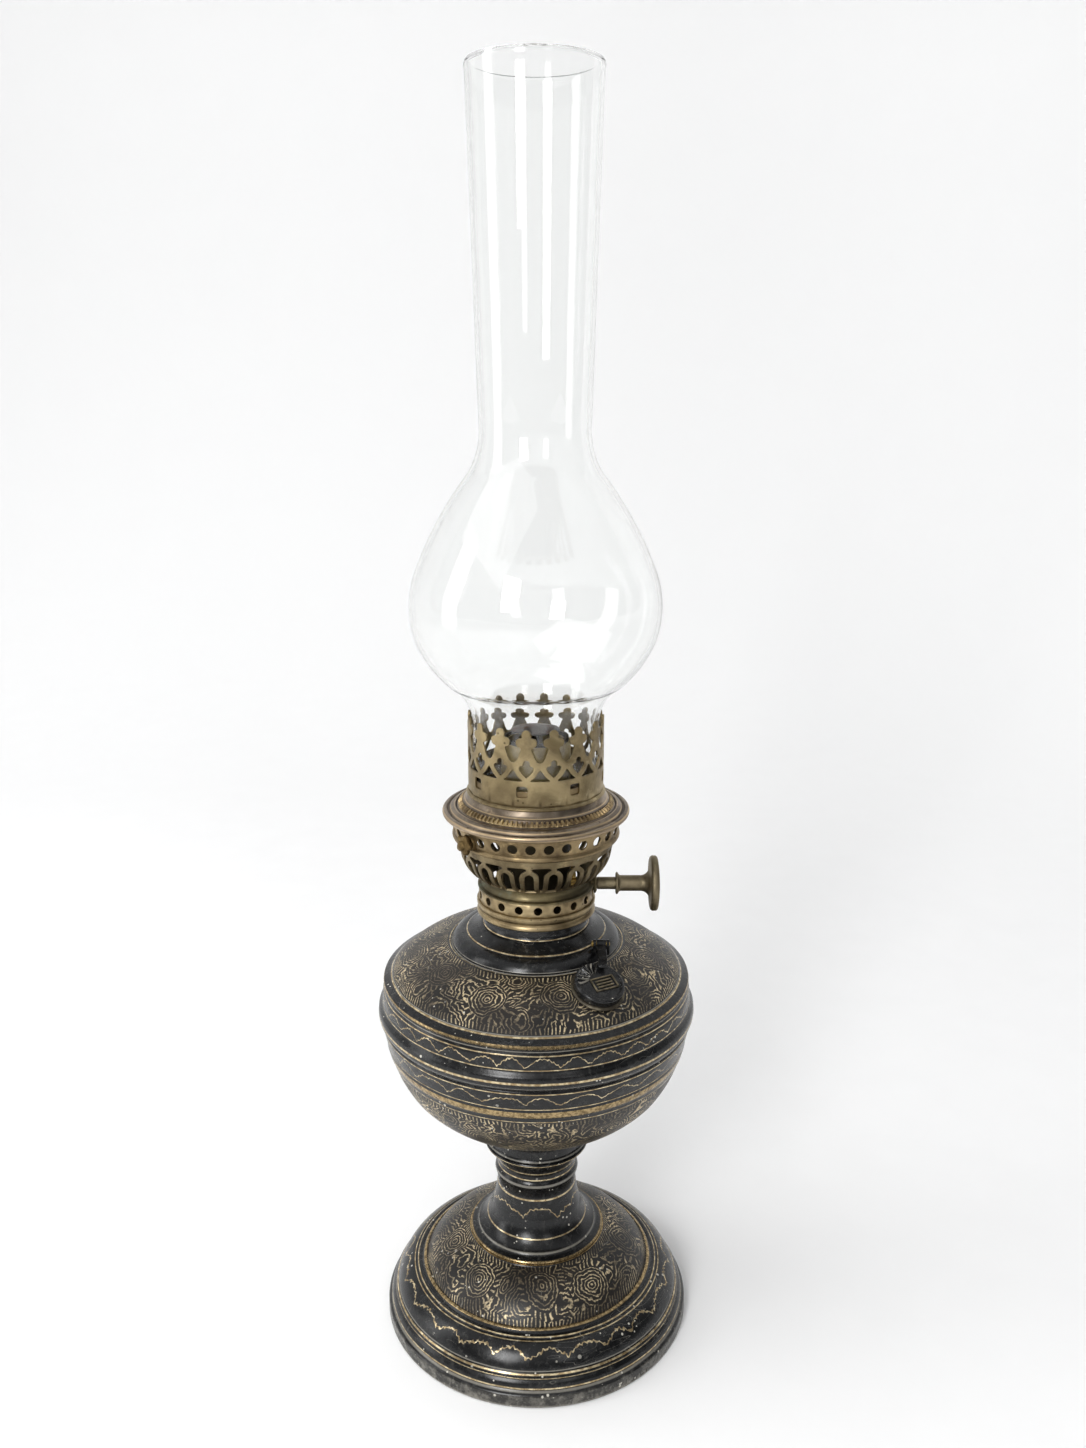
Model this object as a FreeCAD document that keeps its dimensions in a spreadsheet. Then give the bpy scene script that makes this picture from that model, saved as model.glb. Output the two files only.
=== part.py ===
import FreeCAD, Part
import math
import os
import Sketcher

App = FreeCAD
Vector = App.Vector

# Oil lamp with a round-wick burner, a lifting gallery and a ball chimney.
# The lamp's axis is Z and the foot stands on z = 0. The knob points along +X.
# Every driving size is in millimetres or degrees, or is a count.

SIZES = [
    ("foot_radius", 69.9),
    ("foot_height", 40.3),
    ("foot_top_radius", 30.5),
    ("foot_step_height", 24.5),
    ("foot_step_inset", 17.0),
    ("shell_wall", 1.2),
    ("stem_height", 45.7),
    ("stem_radius", 18.0),
    ("stem_bore", 16.4),
    ("stem_lip_radius", 23.5),
    ("cup_height", 12.0),
    ("cup_radius", 33.0),
    ("font_radius", 69.4),
    ("bowl_height", 56.0),
    ("belt_height", 14.0),
    ("seam_height", 2.8),
    ("shoulder_height", 17.4),
    ("collar_height", 13.6),
    ("collar_base_radius", 36.5),
    ("collar_step_radius", 29.8),
    ("thread_radius", 20.3),
    ("thread_clearance", 0.3),
    ("rod_radius", 3.0),
    ("rod_clearance", 0.3),
    ("washer_radius", 12.0),
    ("nut_width", 10.0),
    ("cap_radius", 10.4),
    ("cap_height", 4.6),
    ("cap_azimuth", 31.0),
    ("cap_reach", 48.9),
    ("filler_bore", 7.0),
    ("filler_wall", 0.8),
    ("filler_clearance", 0.4),
    ("hinge_pin_radius", 0.9),
    ("hinge_clearance", 0.08),
    ("hinge_reach", 27.5),
    ("hinge_depth", 21.5),
    ("base_ring_radius", 25.5),
    ("base_ring_height", 6.0),
    ("vent_radius", 24.3),
    ("vent_height", 12.0),
    ("vent_hole_radius", 1.75),
    ("vent_hole_count", 19),
    ("burner_wall", 0.7),
    ("basket_height", 19.0),
    ("basket_radius", 33.2),
    ("arch_count", 20),
    ("arch_width", 4.7),
    ("wick_radius", 13.0),
    ("wick_thickness", 1.4),
    ("wick_clearance", 0.3),
    ("wick_drop", 56.0),
    ("tube_wall", 0.6),
    ("tube_height", 71.0),
    ("duct_width", 8.0),
    ("spindle_radius", 2.4),
    ("spindle_clearance", 0.05),
    ("spindle_rise", 5.7),
    ("pinion_teeth", 10),
    ("pinion_radius", 4.0),
    ("pinion_width", 2.2),
    ("pinion_reach", 15.0),
    ("knob_radius", 11.9),
    ("knob_reach", 53.3),
    ("knob_sleeve_radius", 3.5),
    ("knob_sleeve_length", 18.9),
    ("skirt_radius", 35.0),
    ("skirt_height", 9.6),
    ("skirt_hole_radius", 2.1),
    ("skirt_hole_count", 30),
    ("gallery_clearance", 0.35),
    ("flange_radius", 38.2),
    ("flange_height", 10.0),
    ("rim_wire_radius", 1.5),
    ("crown_radius", 28.5),
    ("crown_band_height", 11.6),
    ("crown_tip_height", 22.3),
    ("crown_wall", 0.6),
    ("crown_point_count", 16),
    ("crown_slot_count", 8),
    ("chimney_height", 277.0),
    ("chimney_fitter_radius", 26.6),
    ("chimney_ball_radius", 51.5),
    ("chimney_throat_radius", 22.2),
    ("chimney_top_radius", 26.1),
    ("glass_wall", 1.8),
    ("lock_azimuth", -48.5),
    ("lock_radius", 1.5),
    ("lock_clearance", 0.05),
    ("lock_head_radius", 4.6),
    ("spreader_radius", 10.2),
    ("spreader_rise", 4.0),
    ("spreader_stem_radius", 1.4),
]

doc = App.newDocument("oil_lamp")
sheet = doc.addObject("Spreadsheet::Sheet", "sizes")


class Size:
    """A number and the sheet expression that gives it, kept together."""

    def __init__(self, value, text):
        self.value = value
        self.text = text

    def __add__(self, other):
        other = as_size(other)
        return Size(self.value + other.value, f"({self.text} + {other.text})")

    def __sub__(self, other):
        other = as_size(other)
        return Size(self.value - other.value, f"({self.text} - {other.text})")

    def __mul__(self, other):
        other = as_size(other)
        return Size(self.value * other.value, f"({self.text} * {other.text})")

    def __truediv__(self, other):
        other = as_size(other)
        return Size(self.value / other.value, f"({self.text} / {other.text})")

    def __radd__(self, other):
        return as_size(other) + self

    def __rsub__(self, other):
        return as_size(other) - self

    def __rmul__(self, other):
        return as_size(other) * self

    def __rtruediv__(self, other):
        return as_size(other) / self

    def __neg__(self):
        return as_size(0) - self


class Sizes:
    """The sheet's aliases as attributes."""


def as_size(number):
    if isinstance(number, Size):
        return number
    return Size(float(number), f"{float(number):.6g}")


def fill_sheet():
    sizes = Sizes()
    for row, (alias, value) in enumerate(SIZES, start=1):
        sheet.set(f"A{row}", alias)
        sheet.set(f"B{row}", str(value))
        sheet.setAlias(f"B{row}", alias)
        setattr(sizes, alias, Size(float(value), f"sizes.{alias}"))
    doc.recompute()
    return sizes


d = fill_sheet()

# Heights of the joints between the pieces, from the floor up.
foot_top = d.foot_height
stem_top = foot_top + d.stem_height
font_base = stem_top + d.cup_height
font_waist = font_base + d.bowl_height
seam = font_waist + d.belt_height
shoulder_top = seam + d.shoulder_height
collar_top = shoulder_top + d.collar_height
vent_base = collar_top + d.base_ring_height
vent_top = vent_base + d.vent_height
basket_top = vent_top + d.basket_height
skirt_base = basket_top - 2.2
skirt_top = skirt_base + d.skirt_height
crown_base = skirt_top + d.flange_height
crown_band_top = crown_base + d.crown_band_height
crown_tip = crown_band_top + d.crown_tip_height
chimney_base = crown_base + 2.0
tube_top = vent_base + d.tube_height
spindle_level = vent_base + d.spindle_rise


# ---------------------------------------------------------------- drawing


def new_body(label):
    body = doc.addObject("PartDesign::Body", label)
    body.Label = label
    return body


def origin_feature(body, role):
    for feature in body.Origin.OriginFeatures:
        if feature.Role == role:
            return feature
    raise ValueError(f"{body.Label} has no {role}")


def new_sketch(body, name, role="XZ_Plane"):
    sketch = body.newObject("Sketcher::SketchObject", name)
    sketch.AttachmentSupport = [(origin_feature(body, role), "")]
    sketch.MapMode = "FlatFace"
    return sketch


def bend(x, y):
    """The point that an arc passes through between the corners on either side."""
    return ("bend", as_size(x), as_size(y))


def hold_point(sketch, geometry, position, x, y):
    """Ties one point of a sketch to two sizes measured from the sketch's origin."""
    for kind, size, axis in (("DistanceX", x, -2), ("DistanceY", y, -1)):
        if size.text == "0":
            sketch.addConstraint(Sketcher.Constraint("PointOnObject", geometry, position, axis))
        else:
            index = sketch.addConstraint(
                Sketcher.Constraint(kind, -1, 1, geometry, position, size.value)
            )
            sketch.setExpression(f"Constraints[{index}]", size.text)


def arc_through(start, middle, end):
    """An arc drawn anticlockwise, and whether its first point is the given start."""
    found = Part.Circle(start, middle, end)
    circle = Part.Circle(found.Center, Vector(0, 0, 1), found.Radius)
    forward = (middle - start).cross(end - middle).z > 0
    first, last = (start, end) if forward else (end, start)
    a = math.atan2(first.y - found.Center.y, first.x - found.Center.x)
    b = math.atan2(last.y - found.Center.y, last.x - found.Center.x)
    if b <= a:
        b += 2 * math.pi
    return Part.ArcOfCircle(circle, a, b), forward


def draw_outline(sketch, outline):
    """Draws a closed outline of corners (x, y), with bends between them."""
    corners = []
    bends = {}
    for item in outline:
        if item[0] == "bend":
            bends[len(corners) - 1] = item[1:]
        else:
            corners.append((as_size(item[0]), as_size(item[1])))
    at = [Vector(x.value, y.value, 0) for x, y in corners]
    sides = []
    for i, start in enumerate(at):
        end = at[(i + 1) % len(at)]
        if i in bends:
            middle = Vector(bends[i][0].value, bends[i][1].value, 0)
            arc, forward = arc_through(start, middle, end)
            geometry = sketch.addGeometry(arc, False)
            sides.append((geometry, 1, 2) if forward else (geometry, 2, 1))
        else:
            geometry = sketch.addGeometry(Part.LineSegment(start, end), False)
            sides.append((geometry, 1, 2))
    for i, (geometry, first, last) in enumerate(sides):
        after, after_first, _ = sides[(i + 1) % len(sides)]
        sketch.addConstraint(
            Sketcher.Constraint("Coincident", geometry, last, after, after_first)
        )
    for i, (x, y) in enumerate(corners):
        hold_point(sketch, sides[i][0], sides[i][1], x, y)
    for i, (x, y) in bends.items():
        point = sketch.addGeometry(Part.Point(Vector(x.value, y.value, 0)), True)
        hold_point(sketch, point, 1, x, y)
        sketch.addConstraint(Sketcher.Constraint("PointOnObject", point, 1, sides[i][0]))


def draw_circle(sketch, x, y, radius):
    """Draws a circle at a place held by two sizes."""
    x, y, radius = as_size(x), as_size(y), as_size(radius)
    centre = Vector(x.value, y.value, 0)
    circle = Part.Circle(centre, Vector(0, 0, 1), radius.value)
    geometry = sketch.addGeometry(circle, False)
    hold_point(sketch, geometry, 3, x, y)
    index = sketch.addConstraint(Sketcher.Constraint("Radius", geometry, radius.value))
    sketch.setExpression(f"Constraints[{index}]", radius.text)


def turned(body, name, outline):
    """Adds a solid of revolution about Z from an outline of (radius, height)."""
    sketch = new_sketch(body, f"{name}_outline")
    draw_outline(sketch, outline)
    feature = body.newObject("PartDesign::Revolution", name)
    feature.Profile = sketch
    feature.ReferenceAxis = (sketch, ["V_Axis"])
    feature.Angle = 360
    return feature


def turned_body(label, outline):
    body = new_body(label)
    turned(body, f"{label}_turning", outline)
    return body


def shell_outline(points, wall):
    """A thin wall's outline: each point (r, z, inward r, inward z) or bend of the
    same four is on the outer face, and the inner face lies one wall inside it."""
    outer = []
    inner = []
    for point in points:
        bent = point[0] == "bend"
        r, z, inward_r, inward_z = point[1:] if bent else point
        inside_r = r + inward_r * wall
        inside_z = z + inward_z * wall
        if bent:
            outer.append(bend(r, z))
            inner.append(bend(inside_r, inside_z))
        else:
            outer.append((r, z))
            inner.append((inside_r, inside_z))
    return outer + inner[::-1]


def cut_ring(body, name, shapes, reach, count, turn=0):
    """Cuts shapes through the front wall and repeats the cut round the Z axis. A
    shape is an outline, or a circle as (x, z, radius). turn is the first one's
    angle in degrees."""
    sketch = new_sketch(body, f"{name}_shape")
    for shape in shapes:
        if len(shape) == 3 and not isinstance(shape[0], tuple):
            draw_circle(sketch, *shape)
        else:
            draw_outline(sketch, shape)
    turn = as_size(turn)
    if turn.text != "0":
        sketch.AttachmentOffset = App.Placement(
            Vector(), App.Rotation(Vector(0, 1, 0), turn.value)
        )
        sketch.setExpression("AttachmentOffset.Rotation.Angle", turn.text)
    doc.recompute()
    before = body.Tip.Shape.Volume
    pocket = body.newObject("PartDesign::Pocket", name)
    pocket.Profile = sketch
    pocket.Type = "Length"
    pocket.Refine = False
    pocket.setExpression("Length", as_size(reach).text)
    doc.recompute()
    if before - pocket.Shape.Volume < 0.001:
        pocket.Reversed = True
        doc.recompute()
    if before - pocket.Shape.Volume < 0.001:
        raise ValueError(f"{name} cuts nothing")
    pattern = body.newObject("PartDesign::PolarPattern", f"{name}_ring")
    pattern.Originals = [pocket]
    pattern.Refine = False
    pattern.Axis = (origin_feature(body, "Z_Axis"), [""])
    pattern.Angle = 360
    if isinstance(count, Size):
        pattern.Occurrences = int(count.value)
        pattern.setExpression("Occurrences", count.text)
    else:
        pattern.Occurrences = count
    body.Tip = pattern
    doc.recompute()
    return pattern


def box(name, x, y, z):
    """A box between pairs of sizes along each axis."""
    made = doc.addObject("Part::Box", name)
    for prop, base, (low, high) in (
        ("Length", "x", x),
        ("Width", "y", y),
        ("Height", "z", z),
    ):
        low, high = as_size(low), as_size(high)
        made.setExpression(prop, (high - low).text)
        made.setExpression(f"Placement.Base.{base}", low.text)
    return made


def cylinder_along_x(name, radius, low, high, y, z):
    made = doc.addObject("Part::Cylinder", name)
    made.Placement = App.Placement(Vector(), App.Rotation(Vector(0, 1, 0), 90))
    low, high = as_size(low), as_size(high)
    made.setExpression("Radius", as_size(radius).text)
    made.setExpression("Height", (high - low).text)
    made.setExpression("Placement.Base.x", low.text)
    made.setExpression("Placement.Base.y", as_size(y).text)
    made.setExpression("Placement.Base.z", as_size(z).text)
    return made


def joined(label, pieces):
    made = doc.addObject("Part::MultiFuse", label)
    made.Shapes = pieces
    made.Refine = True
    made.Label = label
    return made


def cut(label, base, tools):
    """The base with every tool taken away."""
    result = base
    for number, tool in enumerate(tools):
        made = doc.addObject("Part::Cut", f"{label}_cut{number}")
        made.Base = result
        made.Tool = tool
        result = made
    result.Label = label
    return result


# ------------------------------------------------------- foot, stem and font


def foot_shell():
    rim = d.foot_radius
    step = rim - d.foot_step_inset
    step_z = d.foot_step_height
    land = d.stem_bore + 5
    middle_r = (step + d.foot_top_radius) / 2 + 2.6
    middle_z = (step_z + foot_top) / 2 + 2.2
    points = [
        (rim - 0.4, 0, -1, 0),
        ("bend", rim, 2.4, -1, 0),
        (rim - 0.6, 6.4, -1, 0),
        (rim - 1.6, 7.4, -1, -0.4),
        (rim - 2.4, 10.4, -1, -0.2),
        (rim - 4.2, 13.4, -0.9, -0.4),
        ("bend", rim - 6.6, 18.2, -0.8, -0.6),
        (rim - 11.6, 22.6, -0.6, -0.8),
        (step + 1.4, step_z - 1.2, -0.4, -1),
        (step, step_z, -0.6, -1),
        ("bend", middle_r, middle_z, -0.5, -0.9),
        (d.foot_top_radius, foot_top, -0.4, -1),
        (land, foot_top, 0, -1),
    ]
    return turned_body("foot_shell", shell_outline(points, d.shell_wall))


def stem_column():
    waist = foot_top + 24
    bead = foot_top + 31.3
    wall = d.shell_wall
    outline = [
        (d.foot_top_radius, foot_top),
        (d.foot_top_radius, foot_top + 1),
        (d.foot_top_radius - 2, foot_top + 1.6),
        bend(d.stem_radius + 4.4, foot_top + 7),
        (d.stem_radius + 1.2, foot_top + 17),
        (d.stem_radius, waist),
        (d.stem_radius, bead - 2),
        bend(d.stem_radius + 0.7, bead),
        (d.stem_radius, bead + 2),
        (d.stem_radius - 0.1, bead + 3.2),
        bend(d.stem_radius + 1.3, bead + 8.4),
        (d.stem_lip_radius - 0.9, stem_top - 2),
        (d.stem_lip_radius, stem_top - 1.4),
        (d.stem_lip_radius, stem_top),
        (d.stem_bore, stem_top),
        (d.stem_bore, foot_top + 17),
        bend(d.stem_bore + 5, foot_top + 5),
        (d.foot_top_radius - wall, foot_top),
    ]
    return turned_body("stem_column", outline)


def font_cup():
    floor = stem_top + 2.2
    seat = font_base
    land = d.font_radius - 49.4
    outline = [
        (d.rod_radius + d.rod_clearance, stem_top),
        (d.stem_lip_radius - 1.2, stem_top),
        (d.stem_lip_radius - 0.4, stem_top + 5),
        bend(d.stem_lip_radius + 1.6, seat - 1.6),
        (d.cup_radius, seat + 2.9),
        (d.cup_radius - 1.5, seat + 2.9),
        (land + 2.5, seat),
        (land - 6, seat),
        (land - 6, floor),
        (d.rod_radius + d.rod_clearance, floor),
    ]
    return turned_body("font_cup", outline)


def bowl_points():
    """The lower font's outer face, from its flat base up to the seam."""
    base = font_base
    r = d.font_radius
    return [
        (r - 49.4, base, 0, 1),
        ("bend", r - 28.7, base + 7.6, -0.35, 0.93),
        (r - 12, base + 22, -0.7, 0.7),
        ("bend", r - 7, base + 31.2, -0.85, 0.5),
        (r - 3.8, base + 40, -0.95, 0.3),
        ("bend", r - 1.6, base + 48.5, -1, 0.1),
        (r, font_waist, -1, 0),
        (r, font_waist + 1.4, -1, 0),
        ("bend", r - 1.5, font_waist + 6, -1, 0),
        (r - 2.5, seam - 1.2, -1, 0),
        (r - 3.2, seam, -1, 0),
    ]


def font_bowl():
    points = bowl_points()
    flat = (d.rod_radius + d.rod_clearance, font_base, 0, 1)
    return turned_body("font_bowl", shell_outline([flat] + points, d.shell_wall))


def font_shoulder(frame):
    r = d.font_radius - 3.2
    rolled = seam + d.seam_height
    end_r = d.collar_base_radius - 4
    middle_r = (r + d.collar_base_radius) / 2 + 0.6
    middle_z = (rolled + shoulder_top) / 2 + 2.2
    points = [
        (r, seam, -1, 0),
        ("bend", r + 0.4, seam + 0.6 * d.seam_height, -1, 0),
        (r - 1.2, rolled, -0.9, -0.4),
        (r - 2.6, rolled + 0.8, -0.7, -0.7),
        ("bend", middle_r, middle_z, -0.4, -0.9),
        (d.collar_base_radius, shoulder_top, -0.1, -1),
        (end_r, shoulder_top, 0, -1),
    ]
    dome = turned_body("shoulder_dome", shell_outline(points, d.shell_wall))
    hole = doc.addObject("Part::Cylinder", "filler_hole")
    hole.setExpression("Radius", (d.filler_bore + d.filler_wall).text)
    hole.Height = 20
    hole.Placement = frame.multiply(App.Placement(Vector(0, 0, -10), App.Rotation()))
    return cut("font_shoulder", dome, [hole])


def font_collar():
    thread = d.thread_radius
    step = d.collar_step_radius
    base = d.collar_base_radius
    outline = [
        (thread, shoulder_top),
        (base - 0.6, shoulder_top),
        (base, shoulder_top + 0.5),
        bend(base - 1.2, shoulder_top + 2.6),
        (step + 1, shoulder_top + 4.9),
        (step, shoulder_top + 5.4),
        (step - 0.8, shoulder_top + 5.6),
        bend(step - 4, shoulder_top + 7),
        (thread + 2.9, shoulder_top + 8.7),
        (thread + 2.2, shoulder_top + 9.2),
        (thread + 2.2, collar_top),
        (thread, collar_top),
    ]
    return turned_body("font_collar", outline)


def tie_rod():
    rod = doc.addObject("Part::Cylinder", "rod_shaft")
    rod.setExpression("Radius", d.rod_radius.text)
    low = foot_top - 16
    rod.setExpression("Height", (font_base + 6 - low).text)
    rod.setExpression("Placement.Base.z", low.text)
    rod.Label = "tie_rod"
    return rod


def hexagon_nut(label, level, thickness):
    prism = doc.addObject("Part::Prism", f"{label}_prism")
    prism.Polygon = 6
    prism.setExpression("Circumradius", (d.nut_width / 2 * 1.1547).text)
    prism.setExpression("Height", as_size(thickness).text)
    prism.setExpression("Placement.Base.z", level.text)
    hole = doc.addObject("Part::Cylinder", f"{label}_hole")
    hole.setExpression("Radius", d.rod_radius.text)
    hole.setExpression("Height", as_size(thickness).text)
    hole.setExpression("Placement.Base.z", level.text)
    return cut(label, prism, [hole])


def clamp_washer(label, level, radius):
    thickness = 1.5
    outline = [
        (d.rod_radius + d.rod_clearance, level),
        (radius, level),
        (radius, level + thickness),
        (d.rod_radius + d.rod_clearance, level + thickness),
    ]
    return turned_body(label, outline)


def foot_fixing():
    """The spider plate under the foot's dome, with the washer and nut below it."""
    plate_z = foot_top - d.shell_wall - 2
    land = d.foot_top_radius - 2
    outline = [
        (d.rod_radius + d.rod_clearance, plate_z),
        (land, plate_z),
        (land, foot_top - d.shell_wall),
        (d.rod_radius + d.rod_clearance, foot_top - d.shell_wall),
    ]
    plate = turned_body("foot_clamp_plate", outline)
    washer = clamp_washer("foot_washer", plate_z - 1.5, d.washer_radius)
    nut = hexagon_nut("foot_nut", plate_z - 6.5, 5)
    return [plate, washer, nut]


def font_fixing():
    """The washer, gasket and nut that hold the rod inside the font."""
    floor = font_base + d.shell_wall
    gasket = [
        (d.rod_radius + d.rod_clearance, floor),
        (d.washer_radius - 1, floor),
        (d.washer_radius - 1, floor + 1),
        (d.rod_radius + d.rod_clearance, floor + 1),
    ]
    return [
        turned_body("font_gasket", gasket),
        clamp_washer("font_washer", floor + 1, d.washer_radius - 2),
        hexagon_nut("font_nut", floor + 2.5, 4),
    ]


# ------------------------------------------------------------- filler and cap


def filler_frame():
    """Where the filler stands on the shoulder, with its axis square to the metal."""
    r = d.cap_reach.value
    azimuth = math.radians(d.cap_azimuth.value)
    rolled = (seam + d.seam_height).value
    start = Vector(d.font_radius.value - 5.8, rolled + 0.8, 0)
    middle_r = (d.font_radius.value - 3.2 + d.collar_base_radius.value) / 2 + 0.6
    middle = Vector(middle_r, (rolled + shoulder_top.value) / 2 + 2.2, 0)
    end = Vector(d.collar_base_radius.value, shoulder_top.value, 0)
    arc = Part.Circle(start, middle, end)
    height = arc.Center.y + math.sqrt(arc.Radius**2 - (r - arc.Center.x) ** 2)
    tilt = math.degrees(math.asin((r - arc.Center.x) / arc.Radius))
    base = Vector(r * math.sin(azimuth), -r * math.cos(azimuth), height)
    turn = App.Rotation(Vector(0, 0, 1), d.cap_azimuth.value)
    lean = App.Rotation(Vector(1, 0, 0), tilt)
    return App.Placement(base, turn.multiply(lean))


def filler_pieces(frame):
    wall = d.filler_wall
    bore = d.filler_bore
    skirt = d.cap_radius
    neck = turned_body("filler_neck", [
        (bore, -2.4),
        (bore + wall, -2.4),
        (bore + wall, 0.3),
        (skirt + 1.2, 0.3),
        (skirt + 1.2, 0.9),
        (bore + wall, 1.1),
        (bore + wall, 3.1),
        (bore, 3.1),
    ])
    gap = d.filler_clearance
    lid = d.cap_height
    cap = turned_body("filler_cap", [
        (0, lid - 1),
        (bore + wall + gap, lid - 1),
        (bore + wall + gap, 1.4),
        (skirt, 1.4),
        (skirt, lid - 1.4),
        bend(skirt - 0.3, lid - 0.5),
        (skirt - 1.2, lid),
        (0, lid),
    ])
    gasket = turned_body("cap_gasket", [
        (0, 3.2),
        (bore + wall, 3.2),
        (bore + wall, lid - 1),
        (0, lid - 1),
    ])
    for piece in (neck, cap, gasket):
        piece.Placement = frame
    panel = doc.addObject("Part::Box", "cap_panel_plate")
    panel.Length = 8
    panel.Width = 5
    panel.Height = 0.5
    panel.Placement = frame.multiply(
        App.Placement(Vector(-4, -2.5, lid.value), App.Rotation())
    )
    panel.Label = "cap_panel"
    return [neck, cap, gasket, panel]


def hinge_pieces(frame):
    """The cap's hinge: two ears and a pin on the collar, and the cap's strap."""
    x = d.hinge_reach
    y = -d.hinge_depth
    z = collar_top - 6.8
    pin_r = d.hinge_pin_radius
    knuckle = pin_r + 1.0
    half = 1.9
    ear_gap = 0.3
    ears = []
    for name, low, high in (
        ("left", x - half - ear_gap - 1.1, x - half - ear_gap),
        ("right", x + half + ear_gap, x + half + ear_gap + 1.1),
    ):
        eye = cylinder_along_x(f"ear_{name}_eye", knuckle, low, high, y, z)
        post = box(
            f"ear_{name}_post", (low, high), (y - knuckle, y + knuckle), (z - 4.2, z)
        )
        ears.append(joined(f"ear_{name}", [eye, post]))
    block = joined("hinge_block", ears)
    hole = cylinder_along_x("hinge_hole", pin_r, x - 6, x + 6, y, z)
    collar_copy = doc.getObject("font_collar")
    bracket = cut("cap_hinge_ears", block, [hole, collar_copy])
    pin = cylinder_along_x("pin_shaft", pin_r, x - half - 1.6, x + half + 1.6, y, z)
    head = cylinder_along_x(
        "pin_head", pin_r + 0.5, x - half - 2.3, x - half - 1.5, y, z
    )
    pin = joined("cap_hinge_pin", [pin, head])
    strap = strap_piece(frame, Vector(x.value, y.value, z.value), half)
    return [bracket, pin, strap]


def strap_piece(frame, pivot, half):
    """A flat strap from the hinge's eye down on to the cap's top."""
    thickness = 1.0
    knuckle = d.hinge_pin_radius.value + 1.0
    pin = d.hinge_pin_radius.value + d.hinge_clearance.value
    lid = d.cap_height.value
    along_x = Vector(1, 0, 0)
    side = pivot - along_x * half
    eye = Part.makeCylinder(knuckle, 2 * half, side, along_x)
    landing = frame.multVec(Vector(0, d.cap_radius.value - 3.2, lid + 0.3))
    edge = frame.multVec(Vector(0, d.cap_radius.value + 0.4, lid + 0.3))
    outline = [
        Vector(side.x, landing.y, landing.z),
        Vector(side.x, edge.y, edge.z),
        Vector(side.x, pivot.y, pivot.z - 0.4),
        Vector(side.x, pivot.y, pivot.z - 0.4 + thickness),
        Vector(side.x, edge.y, edge.z + thickness),
        Vector(side.x, landing.y, landing.z + thickness),
    ]
    wire = Part.makePolygon(outline + outline[:1])
    leaf = Part.Face(wire).extrude(along_x * 2 * half)
    bore = Part.makeCylinder(pin, 4 * half, pivot - along_x * 2 * half, along_x)
    made = doc.addObject("Part::Feature", "cap_strap")
    made.Label = "cap_strap"
    made.Shape = eye.fuse(leaf).cut(bore)
    return made


# ------------------------------------------------------------------- burner


def burner_base():
    thread = d.thread_radius - d.thread_clearance
    ring = d.base_ring_radius
    seat = d.wick_radius + d.wick_thickness / 2 + d.wick_clearance + d.tube_wall
    bore = thread - 1.3
    outline = [
        (bore, shoulder_top + 4),
        (thread, shoulder_top + 4),
        (thread, collar_top + 0.1),
        (ring, collar_top + 0.1),
        bend(ring + 0.3, collar_top + 1.2),
        (ring, collar_top + 2.3),
        (ring - 0.5, collar_top + 2.8),
        (ring - 0.2, vent_base - 1),
        (ring - 0.9, vent_base),
        (seat, vent_base),
        (seat, vent_base - 1.4),
        (bore, vent_base - 1.4),
    ]
    ring_body = turned_body("base_ring_turning", outline)
    rack_slot = box(
        "rack_slot",
        (d.pinion_reach - 0.4, d.pinion_reach + d.pinion_width + 0.4),
        (d.pinion_radius - 1.6, d.pinion_radius + 3.4),
        (vent_base - 2, vent_base + 1),
    )
    return cut("burner_base_ring", ring_body, [rack_slot])


def vent_collar():
    r = d.vent_radius
    middle = vent_base + 6.4
    points = [
        (r, vent_base, -1, 0),
        (r - 0.5, middle - 0.6, -1, 0),
        (r + 0.4, middle, -1, 0),
        ("bend", r + 0.5, middle + 2.4, -1, 0),
        (r + 1.2, vent_top, -1, 0),
    ]
    body = turned_body("vent_collar", shell_outline(points, d.burner_wall))
    hole = (0, vent_base + 3.1, d.vent_hole_radius)
    cut_ring(body, "vent_hole", [hole], r + 5, d.vent_hole_count, 2.3)
    bore = body.newObject("Sketcher::SketchObject", "bush_seat_circle")
    bore.AttachmentSupport = [(origin_feature(body, "YZ_Plane"), "")]
    bore.MapMode = "FlatFace"
    draw_circle(bore, 0, spindle_level, bush_radius())
    doc.recompute()
    before = body.Tip.Shape.Volume
    pocket = body.newObject("PartDesign::Pocket", "bush_seat")
    pocket.Profile = bore
    pocket.Type = "Length"
    pocket.setExpression("Length", (r + 5).text)
    doc.recompute()
    if before - pocket.Shape.Volume < 0.001 or pocket.Shape.Solids[0].CenterOfMass.x > 0:
        pocket.Reversed = True
    return body


def bush_radius():
    return d.spindle_radius + d.spindle_clearance + 0.9


def spindle_bush():
    x_low = d.vent_radius - 2
    x_high = d.vent_radius + 2
    outer = cylinder_along_x("bush_outer", bush_radius(), x_low, x_high, 0, spindle_level)
    bore_r = d.spindle_radius + d.spindle_clearance
    inner = cylinder_along_x("bush_bore", bore_r, x_low - 1, x_high + 1, 0, spindle_level)
    return cut("spindle_bush", outer, [inner])


def spindle_bracket():
    """The inner bearing: a plate standing on the burner's floor."""
    x_high = d.vent_radius - 2.6
    x_low = x_high - 1
    plate = box(
        "bracket_plate", (x_low, x_high), (-4, 4), (vent_base, spindle_level + 4)
    )
    bore_r = d.spindle_radius + d.spindle_clearance
    hole = cylinder_along_x("bracket_bore", bore_r, x_low - 1, x_high + 1, 0, spindle_level)
    return cut("spindle_bracket", plate, [hole])


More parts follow.
